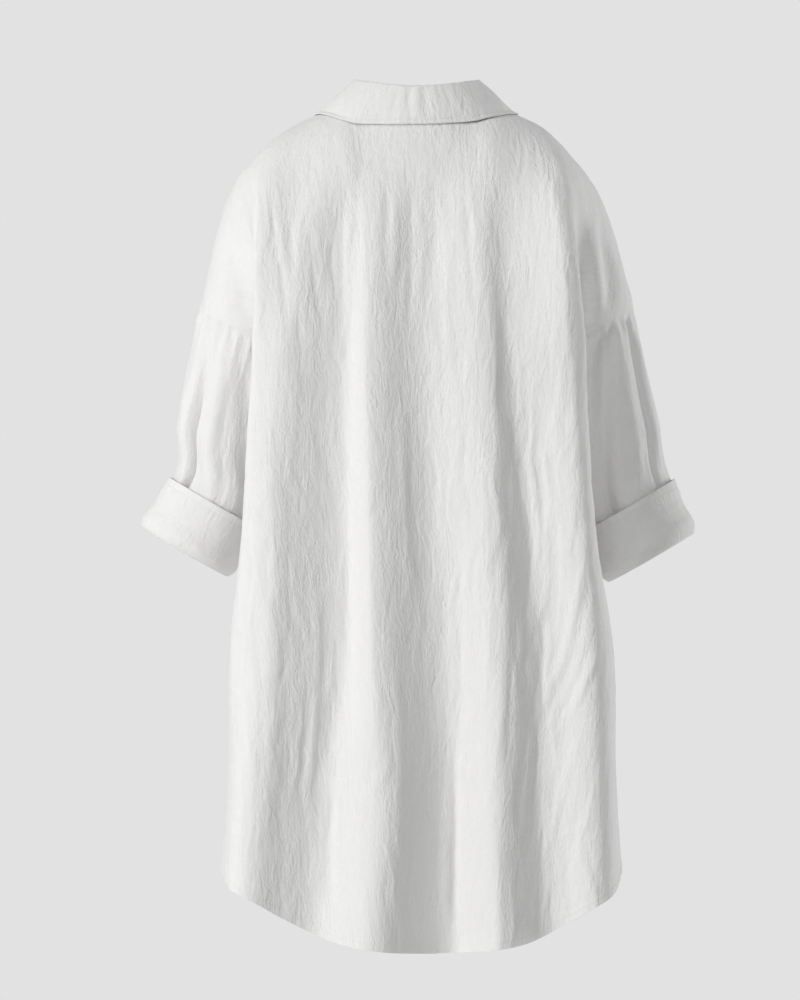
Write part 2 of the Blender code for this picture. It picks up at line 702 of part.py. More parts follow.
def build_leaf(panels):
    """Turned-down leaf: over the band's top edge and down on to the shoulders."""
    us = neck_steps()
    low, high, away = stand_edges(us)
    kept = np.abs(us) < LEAF_END + 0.001
    us, low, high, away = us[kept], low[kept], high[kept], away[kept]
    up = unit(np.cross(away, np.gradient(high, axis=0)))
    up = up * np.sign(up[:, 2:])
    edge = np.array([leaf_edge(u) for u in us])
    over = high + away * LEAF_FOLD[2][0] + up * LEAF_FOLD[2][1]
    rows = [high + away * out + up * rise for out, rise in LEAF_FOLD]
    along = np.gradient(over, axis=0)
    facing = unit(np.cross(along, edge - over))
    facing = facing if facing[len(us) // 2, 1] < 0 else -facing
    for t in np.linspace(0, 1, LEAF_ROWS + 1)[1:]:
        rows.append(over + (edge - over) * t + facing * LEAF_BULGE * math.sin(math.pi * t))
    turned = len(LEAF_FOLD)
    grid = np.concatenate([np.array(rows[:turned]), settle(np.array(rows[turned:]), panels)])
    cloth_object("collar_fall", grid, (0, -1, 0), thickness=COLLAR_CLOTH)


def settle(grid, panels):
    """Points that would come too near the panels, moved out until they lie on them."""
    grid = grid.copy()
    for tree in panels:
        for place in np.ndindex(grid.shape[:2]):
            point = Vector(grid[place])
            near, facing, index, distance = tree.find_nearest(point)
            above = (point - near).dot(facing)
            beside = (point - near - facing * above).length
            if distance < LEAF_NEAR and beside < CLOTH and above < LEAF_CLEAR:
                grid[place] += np.array(facing) * (LEAF_CLEAR - above)
    return grid


def button_mesh():
    """A turned round button with a raised rim, its flat underside at z = 0."""
    mesh = bpy.data.meshes.new("button")
    bm = bmesh.new()
    corners = [bm.verts.new((across, 0, up)) for across, up in BUTTON_PROFILE]
    for a, b in zip(corners[:-1], corners[1:]):
        bm.edges.new((a, b))
    bm.to_mesh(mesh)
    bm.free()
    return mesh


def build_button(name, mesh, place, facing):
    """One button, its underside a hair off the cloth and its face along facing."""
    made = bpy.data.objects.new(name, mesh)
    turn = made.modifiers.new("turned", "SCREW")
    turn.steps = turn.render_steps = BUTTON_SIDES
    turn.use_merge_vertices = True
    turn.merge_threshold = 0.00001
    turn.use_smooth_shade = True
    made.location = Vector(place) + Vector(facing) * SEAM
    made.rotation_mode = "QUATERNION"
    made.rotation_quaternion = Vector(facing).to_track_quat("Z", "Y")
    made.parent = root
    garment.objects.link(made)


def build_buttons(band, stand):
    """Seven buttons down the right band and one on the collar band."""
    mesh = button_mesh()
    mesh.materials.append(material("button", (0.84, 0.83, 0.80), 0.25))
    middle = band.mean(axis=1)
    heights = middle[:, 2]
    for k in range(BUTTON_COUNT):
        z = BUTTON_TOP - BUTTON_STEP * k
        below, above = (np.array([smooth(heights, middle[:, axis], z + step) for axis in range(3)])
                        for step in (-0.005, 0.005))
        up = unit(above - below)
        facing = np.array((0.0, up[2], -up[1]))
        build_button(f"button_{k + 2}", mesh, (below + above) / 2 + facing * BUTTON_LIFT, facing)
    low, high = stand[0, -2], stand[-1, -2]
    up = unit(high - low)
    facing = np.array((0.0, up[2], -up[1]))
    place = (low + high) / 2 + facing * BUTTON_LIFT
    place[0] = 0.0
    build_button("button_1", mesh, place, facing)


for old in list(bpy.data.objects):
    bpy.data.objects.remove(old, do_unlink=True)
garment = collection("blouse")
root = bpy.data.objects.new("blouse_frame", None)
garment.objects.link(root)

panels = [build_back()]
bands = {}
for side in ("left", "right"):
    panels.append(build_front(side))
    bands[side] = build_band(side)
    build_sleeve(side)
    build_cuff(side)
collar_band = build_stand()
build_leaf(panels)
build_buttons(bands["right"], collar_band)
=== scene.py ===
"""Long loose blouse of washed linen and cotton, hollow as on a wearer, seen from the back.

Metres, +Z up. The wearer's back faces -Y and the wearer's right is +X, as in the CAD frame.
"""
import math

import bpy
import numpy as np
from mathutils import Matrix, Vector
from mathutils.bvhtree import BVHTree


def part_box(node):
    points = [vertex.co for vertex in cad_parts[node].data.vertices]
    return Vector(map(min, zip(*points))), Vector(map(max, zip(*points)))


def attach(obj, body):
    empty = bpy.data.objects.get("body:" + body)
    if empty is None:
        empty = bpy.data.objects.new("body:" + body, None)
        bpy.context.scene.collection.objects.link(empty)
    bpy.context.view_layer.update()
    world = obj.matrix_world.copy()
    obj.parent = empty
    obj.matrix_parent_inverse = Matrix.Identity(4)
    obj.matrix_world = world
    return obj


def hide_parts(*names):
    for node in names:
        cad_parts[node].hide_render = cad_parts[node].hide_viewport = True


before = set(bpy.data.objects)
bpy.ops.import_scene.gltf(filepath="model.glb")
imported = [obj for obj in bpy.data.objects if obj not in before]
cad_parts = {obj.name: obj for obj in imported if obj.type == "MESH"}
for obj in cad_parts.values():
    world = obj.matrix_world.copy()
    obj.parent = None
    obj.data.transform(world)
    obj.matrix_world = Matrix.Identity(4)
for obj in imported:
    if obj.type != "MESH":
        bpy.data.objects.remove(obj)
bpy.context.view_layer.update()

# Back
# One wide panel from side seam to side seam, cut with the dropped shoulders in one. It is
# washed plain weave, so it is crinkled all over, and hangs in folds that grow to the hem.
BACKWARD, FORWARD = (0, -1, 0), (0, 1, 0)  # the ways the back and the chest face
BACK_SEED = 11
BACK_ROWS = (62, 112)  # rows of points above the chest line and below it
CLOTH = 0.0009  # wall of the cloth
SEAM = 0.0003  # between pieces that are sewn together
RIM_ANGLE = math.radians(65)  # edges that are sharper than this keep their corner
CHEST = -0.268  # height of the underarm points
CHEST_DIP = 0.046  # the chest line runs this far below them on the panels
CHEST_RUN = 0.25  # share across, from the side seam, in which it gets there
HEM_BACK = -0.8915
HEM_FRONT = -0.742
HEM_SIDE = -0.695
HEM_CURVE = 2.5  # power of the front hem's curve
HEM_DRIFT = 0.035  # how far the back hem's low point sits to the right
HEM_RISE = (  # share across, and how far the back hem has risen there
    (0, 0.0), (0.16, 0.0035), (0.32, 0.0135), (0.455, 0.0335), (0.58, 0.0555),
    (0.66, 0.0690), (0.72, 0.0770), (0.85, 0.0890), (1.0, HEM_SIDE - HEM_BACK),
)
HEM_DEEP = 0.009  # the narrow hem, turned up twice
HEM_PROUD = 0.0004
HEM_STITCH = HEM_DEEP - 0.0015  # height of the stitches above the hem
NECK_SHARE = 0.26  # where the neck point lies across the shoulder line
NECK_BACK = (0.0, -0.060, -0.002)
NECK_SIDE = (0.070, -0.010, 0.008)
NECK_FRONT = (0.015, 0.0645, -0.0740)
ARM_CENTRE = np.array((0.183, 0.015, -0.238))
ARM_ACROSS = 0.060
ARM_DEEP = 0.065
ARM_TILT = math.radians(30)
STATIONS = (0, 0.45, 0.66, 0.84, 1)
SHOULDER = (  # share across, x, y, z along the shoulder line
    (0.26, *NECK_SIDE),
    (0.45, 0.114, 0.002, -0.002),
    (0.66, 0.163, 0.006, -0.036),
    (0.84, 0.204, 0.010, -0.095),
    (1.00, 0.235, 0.015, -0.208),
)
BACK_SECTIONS = (  # height, then x and y at each station, in mm
    (-268, (0, -128), (127, -120), (177, -110), (144, -40), (131, 15)),
    (-300, (0, -129), (128, -121), (178, -111), (141, -40), (126, 15)),
    (-400, (0, -132), (130, -124), (182, -114), (157, -40), (129, 16)),
    (-500, (0, -135), (135, -127), (190, -117), (186, -40), (152, 18)),
    (-560, (0, -137), (137, -129), (196, -117), (199, -37), (176, 22)),
    (-700, (0, -142), (142, -134), (198, -119), (206, -32), (201, 24)),
    (-900, (0, -150), (148, -143), (205, -128), (222, -36), (217, 25)),
)
# Height, and how far the cloth sits to the right there
LEAN = ((-0.31, 0.0), (-0.42, 0.0012), (-0.55, 0.005), (-0.90, 0.005))
SHOULDER_LEAN = ((0.0, 0.0), (-0.05, -0.0035), (-0.12, -0.0015), (-0.20, 0.0))
SHOULDER_LEAN_FROM = (0.075, 0.050)
FOLD_EDGE = (0.60, 0.16)  # the folds fade from this share across, over this run
FOLD_LEVELS = (-60, -91, -253, -415, -577, -739, -900)
BACK_FOLDS = (
    # name, x at each level, height at each level (+ is a ridge), in mm
    ("left edge", (-150, -160, -175, -182, -196, -212, -216), (0, 0, 0, 0, 0, 0, 0)),
    ("left ridge", (-105, -110, -140, -152, -160, -176, -186), (0, 1, 5, 8, 10, 11, 11)),
    ("left valley", (-74, -76, -77, -78, -84, -104, -114), (0, -3, -9, -12, -14, -14, -14)),
    ("middle ridge", (-40, -43, -51, -49, -50, -42, -54), (0, 1, 3, 5, 7, 10, 13)),
    ("centre valley", (12, 12, 7, 17, 25, 29, 32), (0, -3, -9, -13, -17, -22, -25)),
    ("right ridge", (62, 63, 77, 81, 84, 80, 82), (0, 1, 3, 5, 6, 8, 10)),
    ("right valley", (92, 92, 97, 112, 126, 126, 140), (0, -1, -4, -7, -8, -9, -10)),
    ("flank ridge", (138, 146, 160, 170, 178, 181, 186), (1, 5, 7, 7, 7, 7, 7)),
    ("right edge", (158, 165, 178, 188, 202, 216, 222), (0, 0, 0, 0, 0, 0, 0)),
)
BACK_FOLDS_DRAWN = 1.18  # the cloth's folds against these heights
# Creases: x and height of the top, the middle and the bottom, half width, height, in mm
BACK_CREASES = (
    ((-151, -86), (-150, -130), (-147, -174), 4, -1.0),
    ((-143, -160), (-140, -200), (-133, -235), 4, -1.0),
    ((-113, -120), (-110, -160), (-106, -220), 4, -1.2),
    ((-128, -240), (-130, -330), (-136, -420), 6, 1.2),
    ((-70, -90), (-72, -150), (-76, -260), 4, 1.2),
    ((-33, -70), (-31, -105), (-34, -150), 3, -1.4),
    ((-24, -90), (-22, -140), (-27, -200), 4, 1.4),
    ((-8, -70), (-6, -140), (-10, -260), 3, -1.3),
    ((3, -90), (6, -150), (2, -220), 4, 1.3),
    ((16, -60), (20, -120), (18, -190), 3, -1.2),
    ((34, -110), (32, -200), (40, -330), 5, 1.3),
    ((52, -80), (56, -160), (62, -240), 4, -1.2),
    ((-18, -300), (-14, -420), (-10, -560), 5, 1.4),
    ((44, -420), (42, -560), (40, -700), 5, -1.6),
    ((35, -640), (36, -760), (35, -884), 5, -3.0),
    ((28, -700), (26, -790), (24, -884), 6, 1.6),
    ((113, -400), (118, -470), (103, -560), 5, -1.8),
    ((104, -520), (95, -583), (86, -700), 4, -1.6),
    ((73, -430), (72, -510), (66, -640), 5, 1.4),
    ((176, -455), (153, -563), (118, -660), 4, 1.4),
    ((184, -470), (161, -570), (128, -660), 4, -1.1),
    ((122, -545), (109, -580), (113, -625), 3, -1.2),
    ((125, -525), (129, -575), (122, -630), 3, -1.2),
    ((187, -565), (172, -604), (150, -655), 3, 1.4),
    ((178, -560), (164, -600), (142, -650), 3, -1.2),
    ((168, -650), (148, -720), (132, -800), 4, 1.2),
    ((120, -640), (110, -710), (102, -800), 4, 1.3),
    ((112, -600), (121, -670), (116, -740), 3, -1.1),
    ((146, -600), (139, -650), (143, -700), 3, 1.0),
    ((-172, -520), (-168, -640), (-172, -760), 6, -1.4),
    ((-108, -480), (-112, -600), (-124, -740), 5, 1.4),
    ((-78, -430), (-74, -560), (-80, -700), 6, -1.3),
    ((-30, -560), (-24, -700), (-30, -860), 6, 1.3),
    ((-96, -700), (-98, -780), (-96, -860), 6, -1.5),
)
SHOULDER_CREASES = (  # the same, on the dropped shoulders
    ((164, -60), (176, -140), (183, -250), 9, -5.0),
    ((188, -95), (194, -165), (196, -245), 7, 2.5),
    ((199, -95), (206, -165), (209, -250), 8, -4.5),
    ((213, -130), (218, -180), (221, -238), 6, 1.5),
    ((-200, -85), (-192, -165), (-176, -245), 11, -4.5),
    ((-212, -120), (-208, -180), (-200, -235), 9, 2.0),
)
SHOULDER_CALM = ((-0.56, 0.10), (0.44, 0.08))  # share across, and how far to each side
SHOULDER_TURNS = 240
YOKE = (0.020, 0.090)  # the crinkle grows from this far down, over this run
SEWN_DIP = 0.0004  # a row of stitches draws the cloth in by this much
CRINKLE_SIZES = (  # width, length and height of the ridges, in metres
    (0.0150, 0.090, 0.00100),
    (0.0085, 0.050, 0.00060),
    (0.0058, 0.030, 0.00034),
)


def smooth(xs, ys, x):
    """Cubic through the points (xs, ys) with parabolic slopes, read at x."""
    xs = np.asarray(xs, float)
    x = np.asarray(x, float)
    ys = np.array([np.broadcast_to(y, x.shape) for y in ys], float)
    if xs[0] > xs[-1]:
        xs, ys = xs[::-1], ys[::-1]
    x = np.clip(x, xs[0], xs[-1])
    step = np.diff(xs).reshape((-1,) + (1,) * x.ndim)
    rise = np.diff(ys, axis=0) / step
    slope = np.empty_like(ys)
    slope[1:-1] = (step[:-1] * rise[1:] + step[1:] * rise[:-1]) / (step[:-1] + step[1:])
    slope[0] = rise[0]
    slope[-1] = rise[-1]
    i = np.clip(np.searchsorted(xs, x, side="right") - 1, 0, len(xs) - 2)
    wide = np.diff(xs)[i]
    t = (x - xs[i]) / wide
    y0, y1 = (np.take_along_axis(ys, (i + k)[None], 0)[0] for k in (0, 1))
    m0, m1 = (np.take_along_axis(slope, (i + k)[None], 0)[0] * wide for k in (0, 1))
    return ((1 + 2 * t) * (1 - t) ** 2 * y0 + t * (1 - t) ** 2 * m0
            + t * t * (3 - 2 * t) * y1 + t * t * (t - 1) * m1)


def ease(value):
    """Smooth step from 0 to 1."""
    value = np.clip(value, 0, 1)
    return value * value * (3 - 2 * value)


def bell(away, wide):
    """1 in the middle, dying out softly to both sides."""
    return np.exp(-(away / wide) ** 2)


def read(table, x, k=1):
    """Column k of a table at x, smoothly; its first column is the place."""
    return smooth([row[0] for row in table], [row[k] for row in table], x)


def unit(vectors):
    """The same vectors, one long."""
    return vectors / np.maximum(np.linalg.norm(vectors, axis=-1, keepdims=True), 1e-12)


def arm_point(angle):
    """A point of the armhole loop at +X; 0 is on top, + towards the front."""
    across = np.array((math.cos(ARM_TILT), 0, math.sin(ARM_TILT)))
    return (ARM_CENTRE + ARM_ACROSS * np.cos(angle)[..., None] * across
            + ARM_DEEP * np.sin(angle)[..., None] * np.array((0, 1.0, 0)))


def section(table, s, z):
    """x and y at share s across a half panel, at height z, from a table of sections."""
    heights = [row[0] / 1000 for row in table]
    columns = [[smooth(heights, [row[k][axis] / 1000 for row in table], z)
                for k in range(1, 6)] for axis in (0, 1)]
    half = table[0][1][0] / 1000
    mirror = [-share for share in STATIONS[:0:-1]] + list(STATIONS)
    xs = [2 * half - x for x in columns[0][:0:-1]] + columns[0]
    ys = columns[1][:0:-1] + columns[1]
    return smooth(mirror, xs, s), smooth(mirror, ys, s)


def top_line(s, back):
    """Neckline then shoulder line at shares s across a half panel."""
    start, end = np.array(NECK_BACK if back else NECK_FRONT), np.array(NECK_SIDE)
    turn = np.minimum(s / NECK_SHARE, 1) * math.pi / 2
    bend = 1 - np.cos(turn)
    neck = [start[0] + (end[0] - start[0]) * np.sin(turn),
            start[1] + (end[1] - start[1]) * bend,
            start[2] + (end[2] - start[2]) * bend ** (1.2 if back else 0.8)]
    shoulder = [read(SHOULDER, s, k) for k in (1, 2, 3)]
    return np.stack([np.where(s < NECK_SHARE, a, b) for a, b in zip(neck, shoulder)], axis=-1)


def chest_height(s):
    """The chest line dips away from the underarm."""
    away = np.minimum(1.0, (1 - s) / CHEST_RUN)
    return CHEST - CHEST_DIP * (1 - (1 - away) ** 2)


def hem(s, back):
    """Height of the hem at signed shares s across the panel."""
    if back:
        off = np.abs(s - HEM_DRIFT * (1 - s * s))
        return HEM_BACK + read(HEM_RISE, off)
    return HEM_FRONT + (HEM_SIDE - HEM_FRONT) * np.abs(s) ** HEM_CURVE


def hung(top, low, v, drop):
    """From top to low: the cloth leaves the shoulder level and reaches the chest upright."""
    ways = np.stack(np.broadcast_arrays(ease(v), 1 - (1 - v) ** 2, v ** drop), axis=-1)
    return top + (low - top) * ways


def body_point(s, v, back):
    """Points of the half body at +X above the underarm: s across, v down from 0 to 1."""
    table = BACK_SECTIONS if back else FRONT_SECTIONS
    s, v = np.broadcast_arrays(np.asarray(s, float), np.asarray(v, float))
    high = chest_height(s)
    low = np.stack([*section(table, s, high), high], axis=-1)
    drop = np.where(s >= NECK_SHARE, 2.0, 1.25 + 0.75 * (s / NECK_SHARE) ** 2)
    point = hung(top_line(s, back), low, v, drop)
    ones = np.ones_like(s)
    underarm = np.stack([*section(table, ones, CHEST * ones), CHEST * ones], axis=-1)
    plain = hung(top_line(ones, back), underarm, v, 2.0)
    pull = np.clip((s - 0.5) / 0.5, 0, 1)
    return point + pull[..., None] * (arm_point(math.pi * v * (-1 if back else 1)) - plain)


def body_grid(across, arm_rows, body_rows, back):
    """Points of a body panel, top row first, and each point's height above the hem."""
    table = BACK_SECTIONS if back else FRONT_SECTIONS
    s = np.abs(across)[None, :]
    upper = body_point(s, np.linspace(0, 1, arm_rows + 1)[:, None], back)
    down = np.linspace(0, 1, body_rows + 1)[1:, None]
    high = chest_height(s)
    low = hem(across[None, :], back)
    z = high + (low - high) * down
    x, y = section(table, np.broadcast_to(s, z.shape), z)
    grid = np.concatenate([upper, np.stack([x, y, z], axis=-1)])
    above = grid[..., 2] - low
    grid[..., 0] *= np.where(across < 0, -1, 1)
    return grid, above


def fold_height(lines, x, z):
    """Height of the folds at place x, height z: eased from line to line."""
    levels = [level / 1000 for level in FOLD_LEVELS]
    places = [smooth(levels, [v / 1000 for v in line[1]], z) for line in lines]
    heights = [smooth(levels, [v / 1000 for v in line[2]], z) for line in lines]
    result = np.zeros_like(x)
    for k in range(len(lines) - 1):
        inside = (x >= places[k]) & (x < places[k + 1])
        t = (x - places[k]) / np.maximum(places[k + 1] - places[k], 0.001)
        value = heights[k] + (heights[k + 1] - heights[k]) * ease(t)
        result = np.where(inside, value, result)
    return result


def crease_height(creases, x, z):
    """Height of the listed creases at place x, height z, soft to the sides and ends."""
    result = np.zeros_like(x)
    for top, middle, bottom, half, deep in creases:
        heights = [point[1] / 1000 for point in (top, middle, bottom)]
        place = smooth(heights, [point[0] / 1000 for point in (top, middle, bottom)], z)
        share = (z - heights[0]) / (heights[2] - heights[0])
        ends = ease(share / 0.3) * ease((1 - share) / 0.3)
        result += deep / 1000 * ends * bell(x - place, half / 1000)
    return result


def lattice_noise(u, v, seed):
    """Smooth noise from -1 to 1, one lattice cell to each unit of u and of v."""
    size = 256
    field = np.random.default_rng(seed).uniform(-1, 1, (size, size))
    i, j = np.floor(u).astype(int), np.floor(v).astype(int)
    a, b = ease(u - i), ease(v - j)
    corner = [[field[(j + dj) % size, (i + di) % size] for di in (0, 1)] for dj in (0, 1)]
    upper = corner[0][0] + (corner[0][1] - corner[0][0]) * a
    lower = corner[1][0] + (corner[1][1] - corner[1][0]) * a
    return upper + (lower - upper) * b


def crinkle(u, v, seed):
    """Washed crinkle, in metres: long narrow ridges that waver, merge and part.

    u runs across the warp and v along it, both in metres.
    """
    waver = 0.012 * lattice_noise(u / 0.05, v / 0.07, seed) \
        + 0.003 * lattice_noise(u / 0.015, v / 0.025, seed + 1)
    total = 0.0
    for k, (wide, long, high) in enumerate(CRINKLE_SIZES):
        wave = lattice_noise((u + waver) / wide, v / long, seed + 2 + k)
        total = total + high * (1 - 1.6 * np.sqrt(wave ** 2 + 0.01))
    patch = 0.45 + 0.55 * ease(0.5 + lattice_noise(u / 0.06, v / 0.12, seed + 9))
    return total * patch


def outward(grid, outside, closed=False):
    """Normals of the grid, turned so that its middle looks towards outside."""
    down = np.gradient(grid, axis=0)
    if closed:
        across = (np.roll(grid, -1, axis=1) - np.roll(grid, 1, axis=1)) / 2
    else:
        across = np.gradient(grid, axis=1)
    facing = unit(np.cross(down, across))
    middle = facing[grid.shape[0] // 2, grid.shape[1] // 2]
    return facing if np.dot(middle, outside) > 0 else -facing


def run_length(grid, axis):
    """Distance along the grid's rows or columns from the first one, at every point."""
    step = np.linalg.norm(np.diff(grid, axis=axis), axis=-1)
    start = np.zeros_like(np.take(step, [0], axis=axis))
    return np.concatenate([start, np.cumsum(step, axis=axis)], axis=axis)


def pull_edge(grid, axis, end, distance):
    """Draw one edge row or column of the grid in by a distance along the cloth."""
    points = np.swapaxes(grid, 0, 1) if axis == 1 else grid
    edge, inner = (0, 1) if end == "first" else (-1, -2)
    points[edge] = points[edge] + unit(points[inner] - points[edge]) * distance


def leaned(grid):
    """The body sits a little to the left at the shoulders, to the right lower down."""
    grid = grid.copy()
    start, run = SHOULDER_LEAN_FROM
    low, high = (read(table, grid[..., 2]) for table in (LEAN, SHOULDER_LEAN))
    grid[..., 0] += low + high * ease((np.abs(grid[..., 0]) - start) / run)
    return grid


def fold_window(across):
    """The folds' strength at each share across: they die out before the side."""
    start, run = FOLD_EDGE
    return 1 - ease((np.abs(across) - start) / run)


def hem_rise(above):
    """The turned-up hem stands proud by a layer, with a slight pucker where it is sewn."""
    edge = ease((above - HEM_DEEP + 0.001) / 0.002)
    return HEM_PROUD * (1 - edge) - SEWN_DIP * bell(above - HEM_STITCH, 0.0016)


class Wire:
    """A socket of a material. Sums on it add Math nodes."""

    def __init__(self, finish, socket):
        self.finish, self.socket = finish, socket

    def sum(self, kind, first, second):
        return self.finish.add("ShaderNodeMath", {"operation": kind}, {0: first, 1: second})

    def __add__(self, other):
        return self.sum("ADD", self, other)

    def __sub__(self, other):
        return self.sum("SUBTRACT", self, other)

    def __rsub__(self, other):
        return self.sum("SUBTRACT", other, self)

    def __mul__(self, other):
        return self.sum("MULTIPLY", self, other)

    __radd__ = __add__
    __rmul__ = __mul__


class Finish:
    """A material with a Principled shader, and the one way in which its nodes are added."""

    def __init__(self, name):
        self.material = bpy.data.materials.new(name)
        self.material.use_nodes = True
        self.tree = self.material.node_tree
        self.shader = self.tree.nodes["Principled BSDF"]

    def add(self, kind, settings=None, inputs=None, output=0):
        """A node of this kind: settings first, then the values or links of its sockets."""
        node = self.tree.nodes.new(kind)
        settings = dict(settings or {})
        stops = settings.pop("stops", None)
        for key, value in settings.items():
            setattr(node, key, value)
        if stops:
            self.set_stops(node.color_ramp, stops)
        for key, value in (inputs or {}).items():
            self.join(node.inputs[key], value)
        return Wire(self, node.outputs[output])

    def noise(self, at, scale, detail=2.0, **settings):
        """Noise at a place, in cells of 1 / scale."""
        return self.add("ShaderNodeTexNoise", {}, {
            "Vector": at, "Scale": scale, "Detail": detail, **settings})

    def bump(self, height, strength, distance):
        """A normal raised by the height."""
        return self.add("ShaderNodeBump", {}, {
            "Strength": strength, "Distance": distance, "Height": height})

    def ramp(self, place, *stops):
        """A colour from stops of place and colour."""
        return self.add("ShaderNodeValToRGB", {"stops": stops}, {"Fac": place})

    def set_stops(self, ramp, stops):
        """The ramp's own two stops are used first, and the rest are new."""
        for k, (place, colour) in enumerate(stops):
            stop = ramp.elements[k] if k < 2 else ramp.elements.new(place)
            stop.position, stop.color = place, (*colour, 1)

    def join(self, socket, value):
        """Link a wire to the socket, or set its value."""
        if isinstance(value, Wire):
            self.tree.links.new(value.socket, socket)
        else:
            socket.default_value = value

    def give(self, **values):
        """Feed the shader's sockets; an underscore stands for a space."""
        for key, value in values.items():
            self.join(self.shader.inputs[key.replace("_", " ")], value)


def linen(name, tint=(0.80, 0.795, 0.785)):
    """Washed linen and cotton: plain weave with slubs, fine crinkle, a soft dry surface.

    The pattern follows the cloth: its map is in metres, u across the warp, v along it.
    """
    made = Finish(name)
    place = made.add("ShaderNodeUVMap", {"uv_map": "cloth"})

    def streaks(across, along, seed, detail=2.0):
        """Noise drawn out along the cloth: cells this wide and long, in metres."""
        at = made.add("ShaderNodeMapping", {}, {
            "Vector": place, "Location": (seed, seed * 0.7, 0), "Scale": (1 / across, 1 / along, 1)})
        return made.add("ShaderNodeTexNoise", {"noise_dimensions": "2D"}, {
            "Vector": at, "Scale": 1.0, "Detail": detail, "Roughness": 0.55, "Distortion": 0.5})

    def creases(across, along, seed):
        """Thin wavering lines: they are where a drawn-out noise crosses its middle."""
        off = streaks(across, along, seed, 1.0) - 0.5
        return made.add("ShaderNodeMath", {"operation": "ABSOLUTE"}, {0: off})

    patches = streaks(0.035, 0.070, 6.6, 1.0)
    pebbles = (streaks(0.0040, 0.0100, 3.1) * 0.60 + streaks(0.0020, 0.0045, 8.3) * 0.40) * patches
    lines = creases(0.013, 0.048, 4.4) + creases(0.0075, 0.026, 9.7) * 0.5
    warp = streaks(0.0009, 0.030, 1.7, 1.0)
    weft = streaks(0.030, 0.0009, 5.9, 1.0)
    height = pebbles * 1.5 - lines * 1.1 + warp * 0.04 + weft * 0.04
    bump = made.bump(height, 0.9, 0.0012)
    # Base colour: the warp and weft streaks give the threads' own uneven tone, and the pebbles add
    # painted shade, lighter on the bumps' tops and darker in their hollows.
    shade = warp * 0.35 + weft * 0.35 + pebbles * 0.60
    tones = [tuple(c * share for c in tint) for share in (0.955, 1, 1.02)]
    thread_tone_and_painted_shade = made.ramp(shade, *zip((0.30, 0.62, 0.85), tones))
    made.give(Base_Color=thread_tone_and_painted_shade, Roughness=0.86 + pebbles * 0.10, Normal=bump)
    made.give(Sheen_Weight=0.18, Sheen_Roughness=0.45, Specular_IOR_Level=0.25)
    return made.material


def cloth_piece(name, grid, outside, finish, closed=False, wall=CLOTH, upright=False):
    """A sheet of cloth: a grid primitive moved to the points, its wall put on inwards.

    outside is the way that its middle looks. It rides on the frame in its node's place. The
    warp of an upright piece hangs straight down, whichever way its columns run.
    """
    rows, columns = grid.shape[:2]
    if closed:
        grid = np.concatenate([grid, grid[:, :1]], axis=1)
    across = grid.shape[1]
    us, vs = hanging_map(grid) if upright else round_map(grid)
    bpy.ops.object.select_all(action="DESELECT")
    bpy.ops.mesh.primitive_grid_add(x_subdivisions=across - 1, y_subdivisions=rows - 1, size=1)
    made = bpy.context.object
    made.name = made.data.name = name + "_cloth"
    mesh = made.data
    flat = np.empty(len(mesh.vertices) * 3)
    mesh.vertices.foreach_get("co", flat)
    flat = flat.reshape(-1, 3)
    column = np.rint((flat[:, 0] + 0.5) * (across - 1)).astype(int)
    row = np.rint((0.5 - flat[:, 1]) * (rows - 1)).astype(int)
    mesh.vertices.foreach_set("co", grid[row, column].ravel())
    corners = np.empty(len(mesh.loops), int)
    mesh.loops.foreach_get("vertex_index", corners)
    pattern = mesh.uv_layers.active or mesh.uv_layers.new()
    pattern.name = "cloth"
    places = np.stack([us[row, column], vs[row, column]], axis=1)[corners]
    pattern.data.foreach_set("uv", places.ravel())
    if closed:
        bpy.ops.object.mode_set(mode="EDIT")
        bpy.ops.mesh.select_all(action="SELECT")
        bpy.ops.mesh.remove_doubles(threshold=0.00001)
        bpy.ops.object.mode_set(mode="OBJECT")
    mesh.update()
    centre = Vector(grid[rows // 2, across // 2])
    middle = min(mesh.polygons, key=lambda face: (face.center - centre).length)
    if middle.normal.dot(Vector(outside)) < 0:
        mesh.flip_normals()
    thick = made.modifiers.new("wall", "SOLIDIFY")
    thick.thickness = wall
    thick.offset = -1
    bpy.ops.object.modifier_apply(modifier=thick.name)
    bpy.ops.object.shade_smooth_by_angle(angle=RIM_ANGLE)
    made.data.materials.append(finish)
    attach(made, "root")
    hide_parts(name)
    return made


def round_map(grid):
    """Places on the flat cloth of a sleeve or a strip: u along its rows, v down from the top."""
    return run_length(grid, 1).mean(axis=0)[None, :] + np.zeros((len(grid), 1)), run_length(grid, 0)


def hanging_map(grid):
    """Places on the flat cloth of a panel: u across its upright warp, v down along it."""
    u = run_length(grid[..., :2], 1)
    middle = np.abs(grid[0, :, 0]).argmin()
    v = run_length(grid[..., 1:], 0) - grid[:1, :, 2]
    return u - u[:, middle:middle + 1], v


def panel_shares(inner, outer):
    """Column shares of a half panel: to the neck point, then on to the side seam."""
    return np.concatenate([np.linspace(0, NECK_SHARE, inner + 1)[:-1],
                           np.linspace(NECK_SHARE, 1, outer + 1)])


def crinkled(grid, facing, seed, strength):
    """The grid with its washed crinkle on it, along its normals."""
    u, v = hanging_map(grid)
    return grid + facing * (crinkle(u, v, seed) * strength)[..., None]


def even_out(rows, strength):
    """Each point of the rows moves towards the middle of its two neighbours."""
    evened = (rows[:, :-2] + 2 * rows[:, 1:-1] + rows[:, 2:]) / 4
    rows[:, 1:-1] += (evened - rows[:, 1:-1]) * strength


def rounded_neck_point(grid, shares):
    """The corner at the neck point dies out just below it, as soft cloth lets it."""
    grid = grid.copy()
    near = bell(np.abs(shares) - NECK_SHARE, 0.09)[None, 1:-1, None]
    for k in range(60):
        even_out(grid[2 + k // 6:], near)
    return grid


